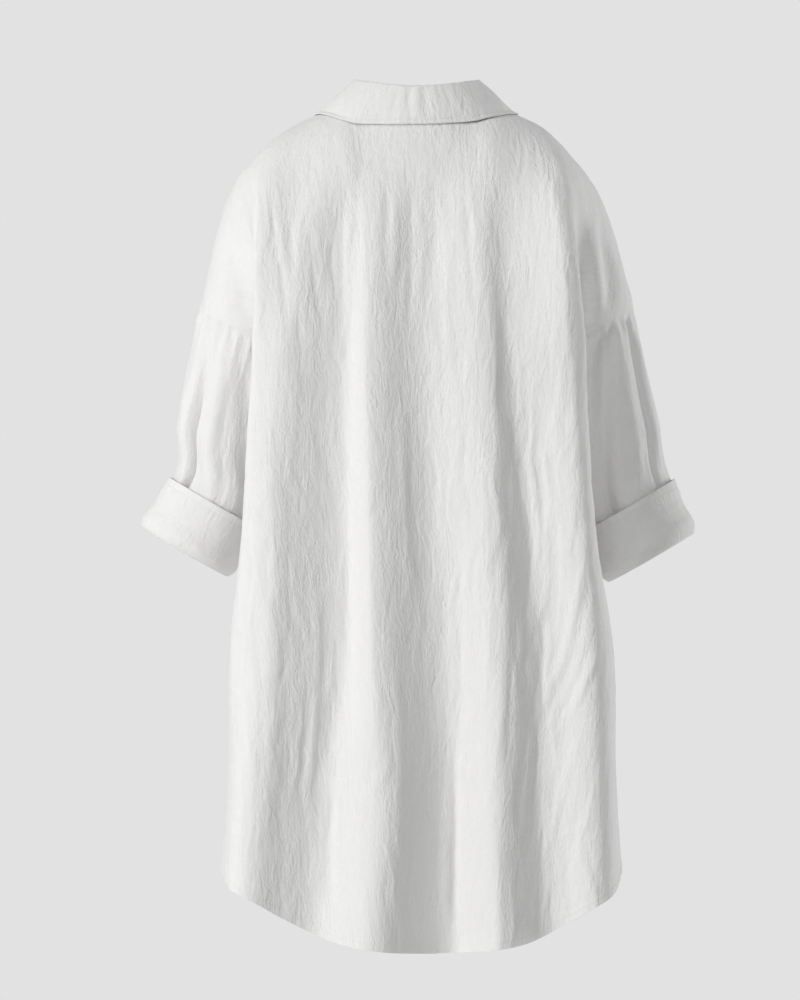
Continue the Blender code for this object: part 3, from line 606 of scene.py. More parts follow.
def calmed_shoulder(grid, shares):
    """The hollow between each shoulder blade and its dropped shoulder, drawn nearly flat."""
    grid = grid.copy()
    near = sum(bell(shares - centre, reach) for centre, reach in SHOULDER_CALM)
    down = grid[:1, :, 2] - grid[..., 2]
    strength = near * ease(down / 0.03) * (1 - ease((-grid[..., 2] - 0.25) / 0.10))
    strength = np.clip(strength, 0, 1)[:, 1:-1, None]
    for turn in range(SHOULDER_TURNS):
        even_out(grid, strength)
    return grid


def draped(grid, outside, folds, drawn, creases, shares, above):
    """The rise of a panel's folds, creases and hem, and the ways its points face."""
    x, z = grid[..., 0], grid[..., 2]
    rise = fold_height(folds, x, z) * drawn + crease_height(creases, x, z)
    return rise * fold_window(shares) + hem_rise(above), outward(grid, outside)


def finished_panel(name, grid, outside, seed, mirrored=False):
    """The panel crinkled, with its seam gaps, leaning as it hangs, and the cloth made of it.

    The crinkle dies out at the side seams and at the shoulders, where it is sewn flat.
    """
    sideways = run_length(grid, 1)
    near = np.minimum(sideways, sideways[:, -1:] - sideways)
    start, run = YOKE
    strength = 0.25 + 0.75 * ease((-grid[..., 2] - start) / run)
    strength = (ease(near / 0.012) * 0.85 + 0.15) * strength
    grid = crinkled(grid, outward(grid, outside), seed, strength)
    for end in ("first", "last"):
        pull_edge(grid, 1, end, SEAM / 2)
    pull_edge(grid, 0, "first", SEAM / 2)
    if mirrored:
        grid[..., 0] *= -1
    grid = leaned(grid)
    return grid, cloth_piece(name, grid, outside, white_linen, upright=True)


white_linen = linen("washed linen")
right_half = panel_shares(28, 100)
across = np.concatenate([-right_half[:0:-1], right_half])
back_grid, back_above = body_grid(across, *BACK_ROWS, True)
back_grid = calmed_shoulder(rounded_neck_point(back_grid, across), across)
rise, facing = draped(back_grid, BACKWARD, BACK_FOLDS, BACK_FOLDS_DRAWN, BACK_CREASES, across,
                      back_above)
by_seam = ease((1 - np.abs(across)) / 0.05) * ease(run_length(back_grid, 0) / 0.03)
rise += crease_height(SHOULDER_CREASES, back_grid[..., 0], back_grid[..., 2]) * by_seam
back_grid = back_grid + facing * rise[..., None]
back_grid, back = finished_panel("back", back_grid, BACKWARD, BACK_SEED)

# Fronts
# Two panels, mirror cuts, each from the button band to the side seam. They are shorter than
# the back, of the same cloth, and hang in the same kind of folds. The right one laps over.
BAND_HALF = 0.015
BAND_LAP = 0.0018
BAND_LAP_RUN = 0.14
FRONT_SECTIONS = (
    (-268, (15, 125), (112, 118), (150, 97), (143, 56), (131, 15)),
    (-300, (15, 125), (112, 118), (150, 97), (138, 54), (126, 15)),
    (-400, (15, 126), (114, 119), (152, 97), (143, 55), (129, 16)),
    (-500, (15, 126), (120, 119), (161, 97), (163, 58), (152, 18)),
    (-560, (15, 125), (127, 117), (173, 95), (184, 60), (176, 22)),
    (-700, (15, 125), (138, 116), (188, 92), (202, 60), (201, 24)),
    (-900, (15, 124), (145, 116), (196, 92), (214, 62), (217, 25)),
)
FRONT_FOLDS = (
    ("band", (22, 22, 22, 22, 22, 22, 22), (0, 0, 0, 0, 0, 0, 0)),
    ("inner valley", (44, 44, 46, 50, 54, 58, 60), (0, -1, -4, -6, -8, -9, -10)),
    ("ridge", (78, 78, 82, 88, 96, 104, 106), (0, 1, 2, 4, 5, 7, 8)),
    ("outer valley", (106, 108, 116, 122, 138, 150, 152), (0, -1, -4, -5, -7, -7, -8)),
    ("edge", (130, 135, 148, 156, 178, 196, 202), (0, 0, 0, 0, 0, 0, 0)),
)
FRONT_SWAY = {"left": 0.92, "right": 1.06}
FRONT_CREASES = {
    "left": (
        ((38, -150), (40, -220), (36, -310), 4, -1.3), ((66, -180), (70, -280), (68, -380), 5, 1.3),
        ((95, -140), (99, -240), (103, -330), 4, -1.2), ((56, -420), (60, -520), (58, -640), 5, -1.4),
        ((84, -480), (88, -600), (92, -735), 6, 1.5), ((124, -420), (134, -540), (146, -690), 5, -1.4),
        ((36, -560), (34, -640), (38, -738), 4, 1.3), ((150, -500), (142, -590), (120, -660), 4, 1.5),
    ),
    "right": (
        ((42, -120), (44, -200), (40, -280), 4, 1.3), ((72, -150), (74, -240), (78, -340), 4, -1.3),
        ((104, -180), (108, -270), (110, -360), 5, 1.2), ((48, -360), (52, -480), (50, -600), 5, -1.5),
        ((78, -420), (82, -560), (86, -700), 6, -1.3), ((118, -460), (128, -580), (140, -700), 5, 1.5),
        ((60, -600), (62, -680), (66, -738), 4, 1.4), ((158, -520), (146, -600), (130, -680), 4, -1.5),
    ),
}
FRONT_ROWS = (56, 86)
PANEL_SEEDS = {"left": 31, "right": 47}


def surface_tree(grid, outside):
    """The outer surface of a grid, to be asked for its nearest point."""
    rows, columns = grid.shape[:2]
    index = np.arange(rows * columns).reshape(rows, columns)
    faces = np.stack([index[:-1, :-1], index[1:, :-1], index[1:, 1:], index[:-1, 1:]], axis=-1)
    middle = grid[rows // 2, columns // 2]
    across = grid[rows // 2, columns // 2 + 1] - middle
    down = grid[rows // 2 + 1, columns // 2] - middle
    if np.dot(np.cross(down, across), outside) < 0:
        faces = faces[..., ::-1]
    points = [Vector(point) for point in grid.reshape(-1, 3)]
    return BVHTree.FromPolygons(points, faces.reshape(-1, 4).tolist())


fronts = {}
panels = [surface_tree(back_grid, BACKWARD)]
front_share = panel_shares(26, 84)
for side in ("left", "right"):
    grid, above = body_grid(front_share, *FRONT_ROWS, False)
    grid = rounded_neck_point(grid, front_share)
    rise, facing = draped(grid, FORWARD, FRONT_FOLDS, FRONT_SWAY[side], FRONT_CREASES[side],
                          front_share, above)
    if side == "right":
        rise = rise + BAND_LAP * (1 - ease(front_share / BAND_LAP_RUN))
    grid, front = finished_panel("front_" + side, grid + facing * rise[..., None], FORWARD,
                                 PANEL_SEEDS[side], mirrored=side == "left")
    panels.append(surface_tree(grid, FORWARD))
    fronts[side] = (grid, above)

# Button bands
# Two straight strips, folded double and sewn to the fronts' edges. The right one lies over
# the left one, and both run from the collar seam to the hem.
BAND_STITCH = 0.003  # from the band's edge to its row of stitches
BAND_CRINKLE = (61, 0.25)  # seed, and the share of the crinkle
BAND_COLUMNS = 13
bands = {}
for side in ("left", "right"):
    grid, above = body_grid(np.array([0.0]), *FRONT_ROWS, False)
    reach = BAND_HALF - SEAM / 2
    grid = np.repeat(grid, BAND_COLUMNS, axis=1)
    grid[..., 0] = np.linspace(-reach, reach, BAND_COLUMNS)[None, :]
    facing = outward(grid, FORWARD)
    if side == "right":
        grid = grid + facing * BAND_LAP
    sewn = SEWN_DIP * bell(np.abs(grid[..., 0]) - BAND_HALF + BAND_STITCH, 0.0012)
    grid = crinkled(grid - facing * sewn[..., None], facing, *BAND_CRINKLE)
    pull_edge(grid, 0, "first", SEAM / 2)
    bands[side] = leaned(grid)
    band = cloth_piece("band_" + side, bands[side], FORWARD, white_linen, wall=0.0011)

# Sleeves
# Short wide tubes, set on the dropped armholes with small pleats round the outer side of the
# arm, and sewn closed underneath. Long soft folds run down them to the cuffs.
PLEATED = 0.62  # share of the half loop, from the top, that is pleated
PLEATS = 13  # pleats' worth of corners in the half loop
PLEAT_DEEP = {"left": 0.0028, "right": 0.0020}
SLEEVE_SECTIONS = {  # share down, centre x, y and z, half across, half deep, in mm
    "left": (
        (0.00, 183, 15, -238, 60.0, 65.0), (0.33, 196, 22, -299, 59.0, 60.0),
        (0.64, 209, 30, -358, 57.5, 55.0), (0.90, 219, 38, -417, 53.2, 49.0),
        (1.00, 240.6, 41.2, -452.2, 52.8, 48.8),
    ),
    "right": (
        (0.00, 183, 15, -238, 60.0, 65.0), (0.33, 197, 22, -299, 59.0, 60.0),
        (0.64, 213, 30, -358, 57.5, 55.0), (0.90, 230, 38, -419, 53.2, 49.0),
        (1.00, 247.2, 41.2, -456.8, 52.8, 48.8),
    ),
}
PLEAT_FADE = ((0, 0.30), (0.02, 0.75), (0.05, 1), (0.11, 0.75), (0.19, 0.4), (0.30, 0.12),
              (0.42, 0), (1, 0))
VALLEY_END = (0.86, 0.14)  # share down where the valleys start to fade, and over what run
RIDGE_END = (0.72, 0.20)
SLEEVE_FOLDS = {  # angle at the top, at the cuff, half width, height, start, grows over
    "left": (
        (-51, -46, 10, -17.0, 0.12, 0.55), (-26, -28, 14, 2.5, 0.20, 0.4),
        (-70, -80, 14, 4.0, 0.05, 0.35), (-90, -136, 20, -3.5, 0.00, 0.30),
        (58, 48, 20, -7.0, 0.20, 0.45), (86, 80, 18, 3.0, 0.15, 0.45),
    ),
    "right": (
        (-33, -48, 7, -5.0, -0.04, 0.14), (-50, -72, 15, 3.0, 0.00, 0.25),
        (-66, -124, 20, -9.0, -0.02, 0.20), (-20, -34, 12, 3.6, 0.02, 0.20),
        (40, 52, 20, -7.0, 0.15, 0.45), (74, 84, 18, 3.0, 0.15, 0.45),
    ),
}
SLEEVE_SEEDS = {"left": 71, "right": 83}
RING_ACROSS = np.array((math.cos(ARM_TILT), 0, math.sin(ARM_TILT)))
RING_DEEP = np.array((0, 1.0, 0))


def ring_outside(grid):
    """The way that the middle point of a closed piece looks, from its own centre."""
    row = grid[grid.shape[0] // 2]
    return row[grid.shape[1] // 2] - row.mean(axis=0)


def rings(centres, wide, thick):
    """A ring of points round each centre, at the angles, half across wide and half deep thick."""
    return (centres + (wide[:, None] * np.cos(angles))[..., None] * RING_ACROSS
            + (thick[:, None] * np.sin(angles))[..., None] * RING_DEEP)


sleeve_rows, sleeve_columns = 86, 160
angles = (np.arange(sleeve_columns) - sleeve_columns // 2) * 2 * math.pi / sleeve_columns
down = np.linspace(0, 1, sleeve_rows)
for side, sign in (("left", -1), ("right", 1)):
    table = np.array(SLEEVE_SECTIONS[side]) / (1, 1000, 1000, 1000, 1000, 1000)
    cx, cy, cz, wide, thick = (read(table, down, k) for k in range(1, 6))
    grid = rings(np.stack([cx, cy, cz], axis=-1)[:, None], wide, thick)
    facing = outward(grid, ring_outside(grid), closed=True)
    run = np.abs(angles) / math.pi * PLEATS
    tuck = -PLEAT_DEEP[side] * np.sin(math.pi * (run % 1) ** 0.8) * (run < PLEATED * PLEATS)
    rise = read(PLEAT_FADE, down)[:, None] * tuck[None, :]
    for top, bottom, half, height, start, grows in SLEEVE_FOLDS[side]:
        centre = np.radians(top + (bottom - top) * down)
        away = np.abs(angles[None, :] - centre[:, None]) / math.radians(half)
        ending, over = VALLEY_END if height < 0 else RIDGE_END
        swell = ease((down - start) / grows) * (1 - ease((down - ending) / over))
        swell = swell * ease(down / 0.05)
        rise += height / 1000 * swell[:, None] * (1 - ease(away))
    grid = grid + facing * rise[..., None]
    facing = outward(grid, ring_outside(grid), closed=True)
    ends = ease(down / 0.06) * ease((1 - down) / 0.10)
    closing = ease((math.pi - np.abs(angles)) / 0.25)[None, :]
    detail = crinkle(*round_map(grid), SLEEVE_SEEDS[side]) * ends[:, None] * closing
    grid = grid + facing * detail[..., None]
    pull_edge(grid, 0, "last", 1.5 * SEAM)
    grid[..., 0] *= sign
    sleeve = cloth_piece("sleeve_" + side, grid, ring_outside(grid), white_linen, closed=True)

# Cuffs
# The wide ends of the sleeves, turned up once more and pressed. Each stands clear of the
# sleeve all round, with a rounded fold at the bottom and the hem's edge on top.
CUFFS = {  # centre of the fold at the bottom and of the top edge, in mm
    "left": ((252.5, 43, -471.5), (219.5, 38, -418.0)),
    "right": ((256.0, 43, -477.5), (231.5, 38, -420.0)),
}
CUFF_SHAPE = (  # distance along the cloth, share up the cuff, half across, half deep
    (0, 0.36, 51.6, 47.6), (16, 0.10, 51.6, 47.6), (21, 0.02, 51.9, 47.9),
    (23, 0.00, 53.4, 49.4), (25, 0.03, 54.9, 50.9), (54, 0.50, 55.5, 51.6),
    (85, 1.00, 56.3, 52.3),
)
CUFF_LONG = CUFF_SHAPE[-1][0]
CUFF_WAVES = ((2, 0.8, 0.3), (3, 2.1, 0.4), (5, 4.4, 0.3))  # count, turn, height in mm
CUFF_STITCH = 8  # from the top edge to the row of stitches, in mm
CUFF_SEEDS = {"left": 91, "right": 97}
cuff_rows, cuff_columns = 44, 150
cuffs = {}
for side, sign in (("left", -1), ("right", 1)):
    low, high = (np.array(point) / 1000 for point in CUFFS[side])
    places = np.linspace(0, CUFF_LONG, cuff_rows)
    share, wide, thick = (read(CUFF_SHAPE, places, k) for k in (1, 2, 3))
    angles = np.arange(cuff_columns) * 2 * math.pi / cuff_columns
    grid = rings(low + (high - low) * share[:, None, None], wide / 1000, thick / 1000)
    facing = outward(grid, ring_outside(grid), closed=True)
    outer = ease((places - 25) / 12)[:, None]
    round_u = np.broadcast_to(angles * 0.054, grid.shape[:2])
    long_v = places[:, None] / 1000 + np.zeros(grid.shape[:2])
    detail = crinkle(long_v, round_u, CUFF_SEEDS[side]) * 0.9 * outer
    waves = sum(tall / 1000 * np.sin(count * angles + turn) for count, turn, tall in CUFF_WAVES)
    detail = detail + np.maximum(waves, -0.0005)[None, :] * outer * share[:, None]
    sewn = SEWN_DIP * bell(places - CUFF_LONG + CUFF_STITCH, 1.6)[:, None]
    grid = grid + facing * (detail - sewn)[..., None]
    grid[..., 0] *= sign
    cuffs[side] = grid
    cuff_down = (CUFF_LONG - places)[:, None] / 1000 + np.zeros(grid.shape[:2])
    cuff = cloth_piece("cuff_" + side, grid, ring_outside(grid), white_linen, closed=True)
    "sleeve_" + side + "_cloth"

# Collar band
# A curved strip of two layers with stiffening between them, sewn to the neckline. It stands
# up round the neck, and its right end laps over the left one at the front.
COLLAR_CLOTH = 0.0018
NECK_BACK_END = 0.40  # share round the half neckline where the shoulder seam meets it
BAND_START = 0.90
STAND_TOP_BACK = (0.0, -0.0545, 0.0310)
STAND_TOP_SIDE = (0.066, -0.004, 0.0350)
STAND_TOP_FRONT = (0.0, 0.0690, -0.0460)
STAND_DIP = 0.0058  # how far the top edge sinks at the centre back
STAND_DIP_RUN = 0.36
STAND_LAP = 0.0024  # the right end lies this far outside the left one
STAND_LAP_RUN = (0.55, 0.30)  # share round the neck where it starts to, and the run
STAND_END = 1.08  # shares past 1 overlap at the front
STAND_CRINKLE = (103, 0.18)


def neck_line(us):
    """The neckline at us: 0 the centre back, 1 the centre front, past 1 the lap."""
    u = np.abs(us)
    back = top_line(NECK_SHARE * np.minimum(u, NECK_BACK_END) / NECK_BACK_END, True)
    to_band = np.clip((BAND_START - u) / (BAND_START - NECK_BACK_END), 0, 1)
    front = top_line(NECK_SHARE * to_band, False)
    lap = np.stack([BAND_HALF * (1 - (u - BAND_START) / (1 - BAND_START)),
                    np.full_like(u, NECK_FRONT[1]), np.full_like(u, NECK_FRONT[2])], axis=-1)
    points = np.where((u <= NECK_BACK_END)[:, None], back,
                      np.where((u <= BAND_START)[:, None], front, lap))
    return points * np.stack([np.sign(us + 1e-9), 1 + 0 * u, 1 + 0 * u], axis=-1)


def stand_top(us):
    """The top edge of the collar band at us."""
    u = np.abs(us)
    back = u <= NECK_BACK_END
    turn = np.where(back, u / NECK_BACK_END * math.pi / 2,
                    math.pi / 2 * (1 + (u - NECK_BACK_END) / (1 - NECK_BACK_END)))
    level = np.abs(np.cos(turn))
    bend = np.where(back, level ** 1.6, level ** 1.15)
    end = np.where(back[:, None], STAND_TOP_BACK, STAND_TOP_FRONT)
    middle = np.array(STAND_TOP_SIDE)
    dip = STAND_DIP * (1 - ease(u / STAND_DIP_RUN))
    return np.stack([middle[0] * np.sin(turn) * np.sign(us + 1e-9),
                     middle[1] + (end[:, 1] - middle[1]) * level,
                     middle[2] + (end[:, 2] - middle[2]) * bend - dip], axis=-1)


def stand_edges(us):
    """Bottom and top edges of the collar band, its right end lapped outside."""
    low, high = neck_line(us), stand_top(us)
    along = np.gradient(high, axis=0)
    away = unit(np.stack([along[:, 1], -along[:, 0], np.zeros(len(us))], axis=1))
    away = away if away[len(us) // 2, 1] < 0 else -away
    start, run = STAND_LAP_RUN
    lap = (STAND_LAP * ease((us - start) / run))[:, None]
    return low + (away + (0, 0, 1)) * lap, high + away * lap, away


us = np.linspace(-STAND_END, STAND_END, 175)
low, high, away = stand_edges(us)
low = low + unit(high - low) * SEAM
up = np.linspace(0, 1, 16)[:, None, None]
grid = low + (high - low) * up
facing = outward(grid, BACKWARD)
grid = crinkled(grid, facing, *STAND_CRINKLE)
stand_grid, stand_down = grid, run_length(grid, 0)
collar_band = cloth_piece("collar_stand", grid, BACKWARD, white_linen, wall=COLLAR_CLOTH)

# Collar leaf
# The turned-down part: two layers, topstitched, folded over the band's top edge. It lies on
# the back and shoulders, eased in at the centre back, with points on the fronts.
LEAF_STEP = 0.01  # shares, between the points that give the edge its facing
LEAF_FOLD = ((-0.0018, 0.0021), (-0.0006, 0.0027), (0.0010, 0.0028), (0.0026, 0.0022),
             (0.0036, 0.0010))
LEAF_BULGE = 0.002
LEAF_TURN = 0.45  # share round the neck where the leaf passes from the back to the front
LEAF_END = 0.90
LEAF_SHOULDER = 0.455  # share along the shoulder seam where its edge crosses
LEAF_DOWN = (  # share of the way to that crossing, share down the back
    (0, 0.079), (0.29, 0.117), (0.57, 0.226), (0.79, 0.160), (1, 0.0),
)
LEAF_TILT = 0.06  # the right side's edge is that share higher, the left's lower
LEAF_POINT = (0.22, 0.58)  # shares across and down the front, of the collar point
LEAF_CLEAR = 0.0027  # outer face of the leaf above the panel under it
LEAF_NEAR = 0.03  # only points that are this near a panel are moved off it
LEAF_STITCH = 0.005  # from the edge to the row of stitches
LEAF_CRINKLE = (109, 0.30)
LEAF_TUCKS = (  # share round the neck, half width as a share, height in metres
    (-0.068, 0.010, -0.0008), (-0.027, 0.009, -0.0014), (0.001, 0.010, 0.0008),
    (0.029, 0.009, -0.0014),
    (0.30, 0.030, -0.0016), (0.37, 0.030, 0.0012), (-0.33, 0.030, 0.0012), (0.14, 0.018, 0.0007),
)


def leaf_edge(us):
    """The leaf's lower edge at us: it lies on the back, the shoulder and the front."""
    edge = []
    for u in us:
        share = abs(u)
        back_part = share <= LEAF_TURN
        if back_part:
            s = LEAF_SHOULDER * share / LEAF_TURN
            v = float(read(LEAF_DOWN, share / LEAF_TURN))
            v *= 1 - LEAF_TILT * math.sin(math.pi * u / LEAF_TURN)
        else:
            reach = (share - LEAF_TURN) / (LEAF_END - LEAF_TURN)
            s = LEAF_SHOULDER + (LEAF_POINT[0] - LEAF_SHOULDER) * reach
            v = LEAF_POINT[1] * reach
        point, across, down = (body_point(s + a, v + b, back_part)
                               for a, b in ((0, 0), (LEAF_STEP, 0), (0, LEAF_STEP)))
        across, down = across - point, down - point
        facing = unit(np.cross(down, across) if back_part else np.cross(across, down))
        if share > LEAF_TURN - 0.001 and v < LEAF_STEP:
            facing = np.array((0.0, 0.0, 1.0))
        edge.append((point + facing * LEAF_CLEAR) * (-1 if u < 0 else 1, 1, 1))
    edge = np.array(edge)
    for turn in range(40):
        edge[1:-1] = (edge[:-2] + 2 * edge[1:-1] + edge[2:]) / 4
    return edge


def settled(grid):
    """Points that would come too near the panels, moved out until they lie on them."""
    grid = grid.copy()
    for tree in panels:
        for place in np.ndindex(grid.shape[:2]):
            point = Vector(grid[place])
            near, facing, index, distance = tree.find_nearest(point)
            above = (point - near).dot(facing)
            beside = (point - near - facing * above).length
            if distance < LEAF_NEAR and beside < CLOTH and above < LEAF_CLEAR:
                grid[place] += np.array(facing) * (LEAF_CLEAR - above)
    return grid


us = np.linspace(-LEAF_END, LEAF_END, 171)
low, high, away = stand_edges(us)
up = unit(np.cross(away, np.gradient(high, axis=0)))
up = up * np.sign(up[:, 2:])
edge = leaf_edge(us)
over = high + away * LEAF_FOLD[-1][0] + up * LEAF_FOLD[-1][1]
turned = [high + away * out + up * rise for out, rise in LEAF_FOLD]
facing = unit(np.cross(np.gradient(over, axis=0), edge - over))
facing = facing if facing[len(us) // 2, 1] < 0 else -facing
laid = np.array([over + (edge - over) * t + facing * LEAF_BULGE * math.sin(math.pi * t)
                 for t in np.linspace(0, 1, 31)[1:]])
grid = np.concatenate([np.array(turned), settled(laid)])
facing = outward(grid, BACKWARD)
down = np.linspace(0, 1, grid.shape[0])[:, None]
tucks = sum(tall * bell(us - place, half) for place, half, tall in LEAF_TUCKS)
detail = tucks[None, :] * np.sin(math.pi * np.clip(down * 1.15, 0, 1)) ** 0.7
to_edge = run_length(grid[::-1], 0)[::-1]
sewn = SEWN_DIP * bell(to_edge - LEAF_STITCH, 0.0012)
grid = grid + facing * (detail - sewn)[..., None]
grid = crinkled(grid, facing, *LEAF_CRINKLE)
leaf_grid, leaf_down = grid, to_edge
leaf = cloth_piece("collar_fall", grid, BACKWARD, white_linen, wall=COLLAR_CLOTH)

# Stitching
# Rows of white lockstitch along every edge that is turned up or laid flat. The thread is
# twisted polyester, and each stitch is a bead that dips into the cloth at both ends.
STITCH_LONG = 0.0026
STITCH_STEP = 0.0032
STITCH_THICK = 0.00042

white_thread = Finish("white thread")
where = white_thread.add("ShaderNodeTexCoord", output=3)
twist = white_thread.noise(where, 2600.0, 1.0)
strand = white_thread.bump(twist, 0.5, 0.0001)
# Painted shade: the thread is darker where the twist's bump is low, in the grooves between its
# strands.
twist_groove_shade = white_thread.ramp(twist, (0.30, (0.74, 0.73, 0.71)), (0.70, (0.84, 0.83, 0.81)))
white_thread.give(Base_Color=twist_groove_shade, Roughness=0.5 + twist * 0.2, Normal=strand)


def pick(kind, choose):
    """Go to edit mode with only the faces or vertices selected that choose finds in the mesh."""
    bpy.ops.object.mode_set(mode="EDIT")
    bpy.ops.mesh.select_mode(type=kind)
    bpy.ops.mesh.select_all(action="DESELECT")
    bpy.ops.object.mode_set(mode="OBJECT")
    for element in choose(bpy.context.object.data):
        element.select = True
    bpy.ops.object.mode_set(mode="EDIT")


bpy.ops.object.select_all(action="DESELECT")
bpy.ops.mesh.primitive_cylinder_add(vertices=6, radius=STITCH_THICK / 2, depth=STITCH_LONG * 0.5,
                                    rotation=(0, math.pi / 2, 0))
bead = bpy.context.object
bpy.ops.object.transform_apply(location=False, rotation=True, scale=False)
for end in (-1, 1):
    pick("FACE", lambda mesh: [face for face in mesh.polygons if face.normal.x * end > 0.9])
    bpy.ops.mesh.extrude_region_move(TRANSFORM_OT_translate={
        "value": (end * STITCH_LONG * 0.25, 0, -STITCH_THICK * 0.5)})
    bpy.ops.transform.resize(value=(1, 0.5, 0.5))
    bpy.ops.object.mode_set(mode="OBJECT")
bead_points = np.array([vert.co[:] for vert in bead.data.vertices])
bead_faces = sorted(list(face.vertices) for face in bead.data.polygons)
bpy.data.objects.remove(bead, do_unlink=True)


def line_at(grid, values, level):
    """The run of points at which values, falling down each column, passes the level."""
    points = []
    for c in range(grid.shape[1]):
        k = max(1, int(np.argmax(values[:, c] <= level)))
        t = (values[k - 1, c] - level) / (values[k - 1, c] - values[k, c])
        points.append(grid[k - 1, c] + (grid[k, c] - grid[k - 1, c]) * t)
    return np.array(points)


def beads(places, along, facing):
    """Points and faces of one bead at each place, its length along, its back to facing."""
    side = unit(np.cross(facing, along))
    x, y, z = (bead_points[:, axis, None] for axis in range(3))
    along, side, facing = (np.broadcast_to(way, places.shape)[:, None]
                           for way in (along, side, facing))
    points = places[:, None] + along * x + side * y + facing * z
    count = len(bead_points)
    faces = [[corner + k * count for corner in face]
             for k in range(len(places)) for face in bead_faces]
    return points.reshape(-1, 3), faces


def small_piece(name, mesh, finish):
    """An object of this mesh and finish that rides on the frame."""
    made = bpy.data.objects.new(name, mesh)
    bpy.context.scene.collection.objects.link(made)
    mesh.materials.clear()
    mesh.materials.append(finish.material)
    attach(made, "root")
    return made


def thread_piece(name, points, faces):
    """A piece of thread that rides on the frame."""
    mesh = bpy.data.meshes.new(name)
    mesh.from_pydata(points.tolist(), [], faces)
    mesh.shade_smooth()
    return small_piece(name, mesh, white_thread)


def stitch_row(name, line, facing):
    """A row of stitches along a line on the cloth."""
    lengths = np.concatenate([[0], np.cumsum(np.linalg.norm(np.diff(line, axis=0), axis=1))])
    count = int(lengths[-1] / STITCH_STEP)
    at = (np.arange(count) + 0.5) * lengths[-1] / count
    places, facing, before, after = (
        np.stack([np.interp(at + off, lengths, run[:, axis]) for axis in range(3)], axis=-1)
        for run, off in ((line, 0), (facing, 0), (line, -STITCH_LONG / 2), (line, STITCH_LONG / 2)))
    facing, along = unit(facing), unit(after - before)
    return thread_piece(name, *beads(places + facing * STITCH_THICK * 0.3, along, facing))


cuff_level = CUFF_STITCH / 1000
for name, grid, outside, values, level in (
        ("hem_back", back_grid, BACKWARD, back_above, HEM_STITCH),
        ("hem_front_left", fronts["left"][0], FORWARD, fronts["left"][1], HEM_STITCH),
        ("hem_front_right", fronts["right"][0], FORWARD, fronts["right"][1], HEM_STITCH),
        ("cuff_edge_left", cuffs["left"], ring_outside(cuffs["left"]), cuff_down, cuff_level),
        ("cuff_edge_right", cuffs["right"], ring_outside(cuffs["right"]), cuff_down, cuff_level),
        ("leaf_edge", leaf_grid, BACKWARD, leaf_down, LEAF_STITCH),
        ("collar_band_edge", stand_grid[::-1], BACKWARD, stand_down[::-1], BAND_STITCH)):
    facing = outward(grid, outside, closed=name.startswith("cuff"))
    line, looks = line_at(grid, values, level), line_at(facing, values, level)
    if name.startswith("cuff"):
        line, looks = (np.concatenate([run, run[:1]]) for run in (line, looks))
    stitch_row("stitches_" + name, line, looks)
for side in ("left", "right"):
    across = np.swapaxes(bands[side], 0, 1)
    facing = outward(bands[side], FORWARD).swapaxes(0, 1)
    start = bands[side][:, :1, 0]
    values = (start - bands[side][..., 0]).swapaxes(0, 1)
    for edge, level in (("inner", -BAND_STITCH), ("outer", BAND_STITCH - 2 * BAND_HALF)):
        stitch_row(f"stitches_band_{side}_{edge}", line_at(across, values, level),
                   line_at(facing, values, level))

# Buttonholes
# Seven upright ones down the right band and a level one on the collar band, each a slit
# bound all round with close zigzag stitches.
BUTTONS = 8
BUTTON_SINK = 0.0012  # from the middle of the button's node to the cloth
HOLE_OFF = 0.003  # from the button's middle to the slit's
HOLE_HALF = 0.0052  # half the length of the slit
HOLE_RING = 0.0009
HOLE_CORD = 0.00055

bound = Finish("buttonhole thread")
where = bound.add("ShaderNodeUVMap", {"uv_map": "UVMap"})
turns = bound.add("ShaderNodeTexWave", {"bands_direction": "X"}, {"Vector": where, "Scale": 26.0,
                                                                   "Distortion": 0.6})
ribs = bound.bump(turns, 0.7, 0.0002)
# Painted shade: the thread is darker in the low parts of the wave that the bump raises, between the
# wraps of the zigzag.
wraps_painted_shade = bound.ramp(turns, (0.1, (0.60, 0.59, 0.57)), (0.7, (0.84, 0.83, 0.81)))
bound.give(Base_Color=wraps_painted_shade, Roughness=0.55 + turns * 0.1, Normal=ribs)

bpy.ops.object.select_all(action="DESELECT")
bpy.ops.mesh.primitive_torus_add(major_segments=28, minor_segments=8, major_radius=HOLE_RING,
                                 minor_radius=HOLE_CORD, generate_uvs=True)
hole = bpy.context.object
for end in (-1, 1):
    pick("VERT", lambda mesh: [vert for vert in mesh.vertices if vert.co.y * end > HOLE_RING * 0.05])
    bpy.ops.transform.translate(value=(0, end * HOLE_HALF, 0))
    bpy.ops.object.mode_set(mode="OBJECT")
bpy.ops.object.mode_set(mode="EDIT")
bpy.ops.mesh.select_all(action="SELECT")
bpy.ops.transform.resize(value=(1, 1, 0.6))
bpy.ops.object.mode_set(mode="OBJECT")
bpy.ops.object.shade_smooth()


def seat(model, name, finish, place, up, facing):
    """A copy of the model with its own mesh, its upright along up, its face along facing."""
    turn = Matrix((np.cross(up, facing), up, facing)).transposed().to_4x4()
    mesh = model.data.copy()
    mesh.name = name
    mesh.transform(Matrix.Translation(Vector(place)) @ turn)
    return small_piece(name, mesh, finish)


seats = []
for count in range(1, BUTTONS + 1):
    low, high = (np.array(corner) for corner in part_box(f"button_{count}"))
    middle = (low + high) / 2
    if count == 1:
        run = stand_grid[:, -4:].mean(axis=1)
    else:
        run = bands["right"][:, 5:8].mean(axis=1)[::-1]
    top, bottom = (np.array([np.interp(middle[2] + off, run[:, 2], run[:, axis])
                             for axis in range(3)]) for off in (0.006, -0.006))
    up = unit((top - bottom) * (0, 1, 1))
    facing = np.array((0, up[2], -up[1]))
    seats.append((middle - facing * BUTTON_SINK, up, facing))
    slit = -np.cross(up, facing) if count == 1 else up
    seat(hole, f"buttonhole_{count}", bound,
         middle - facing * (BUTTON_SINK + SEAM) - slit * HOLE_OFF, slit, facing)
bpy.data.objects.remove(hole, do_unlink=True)

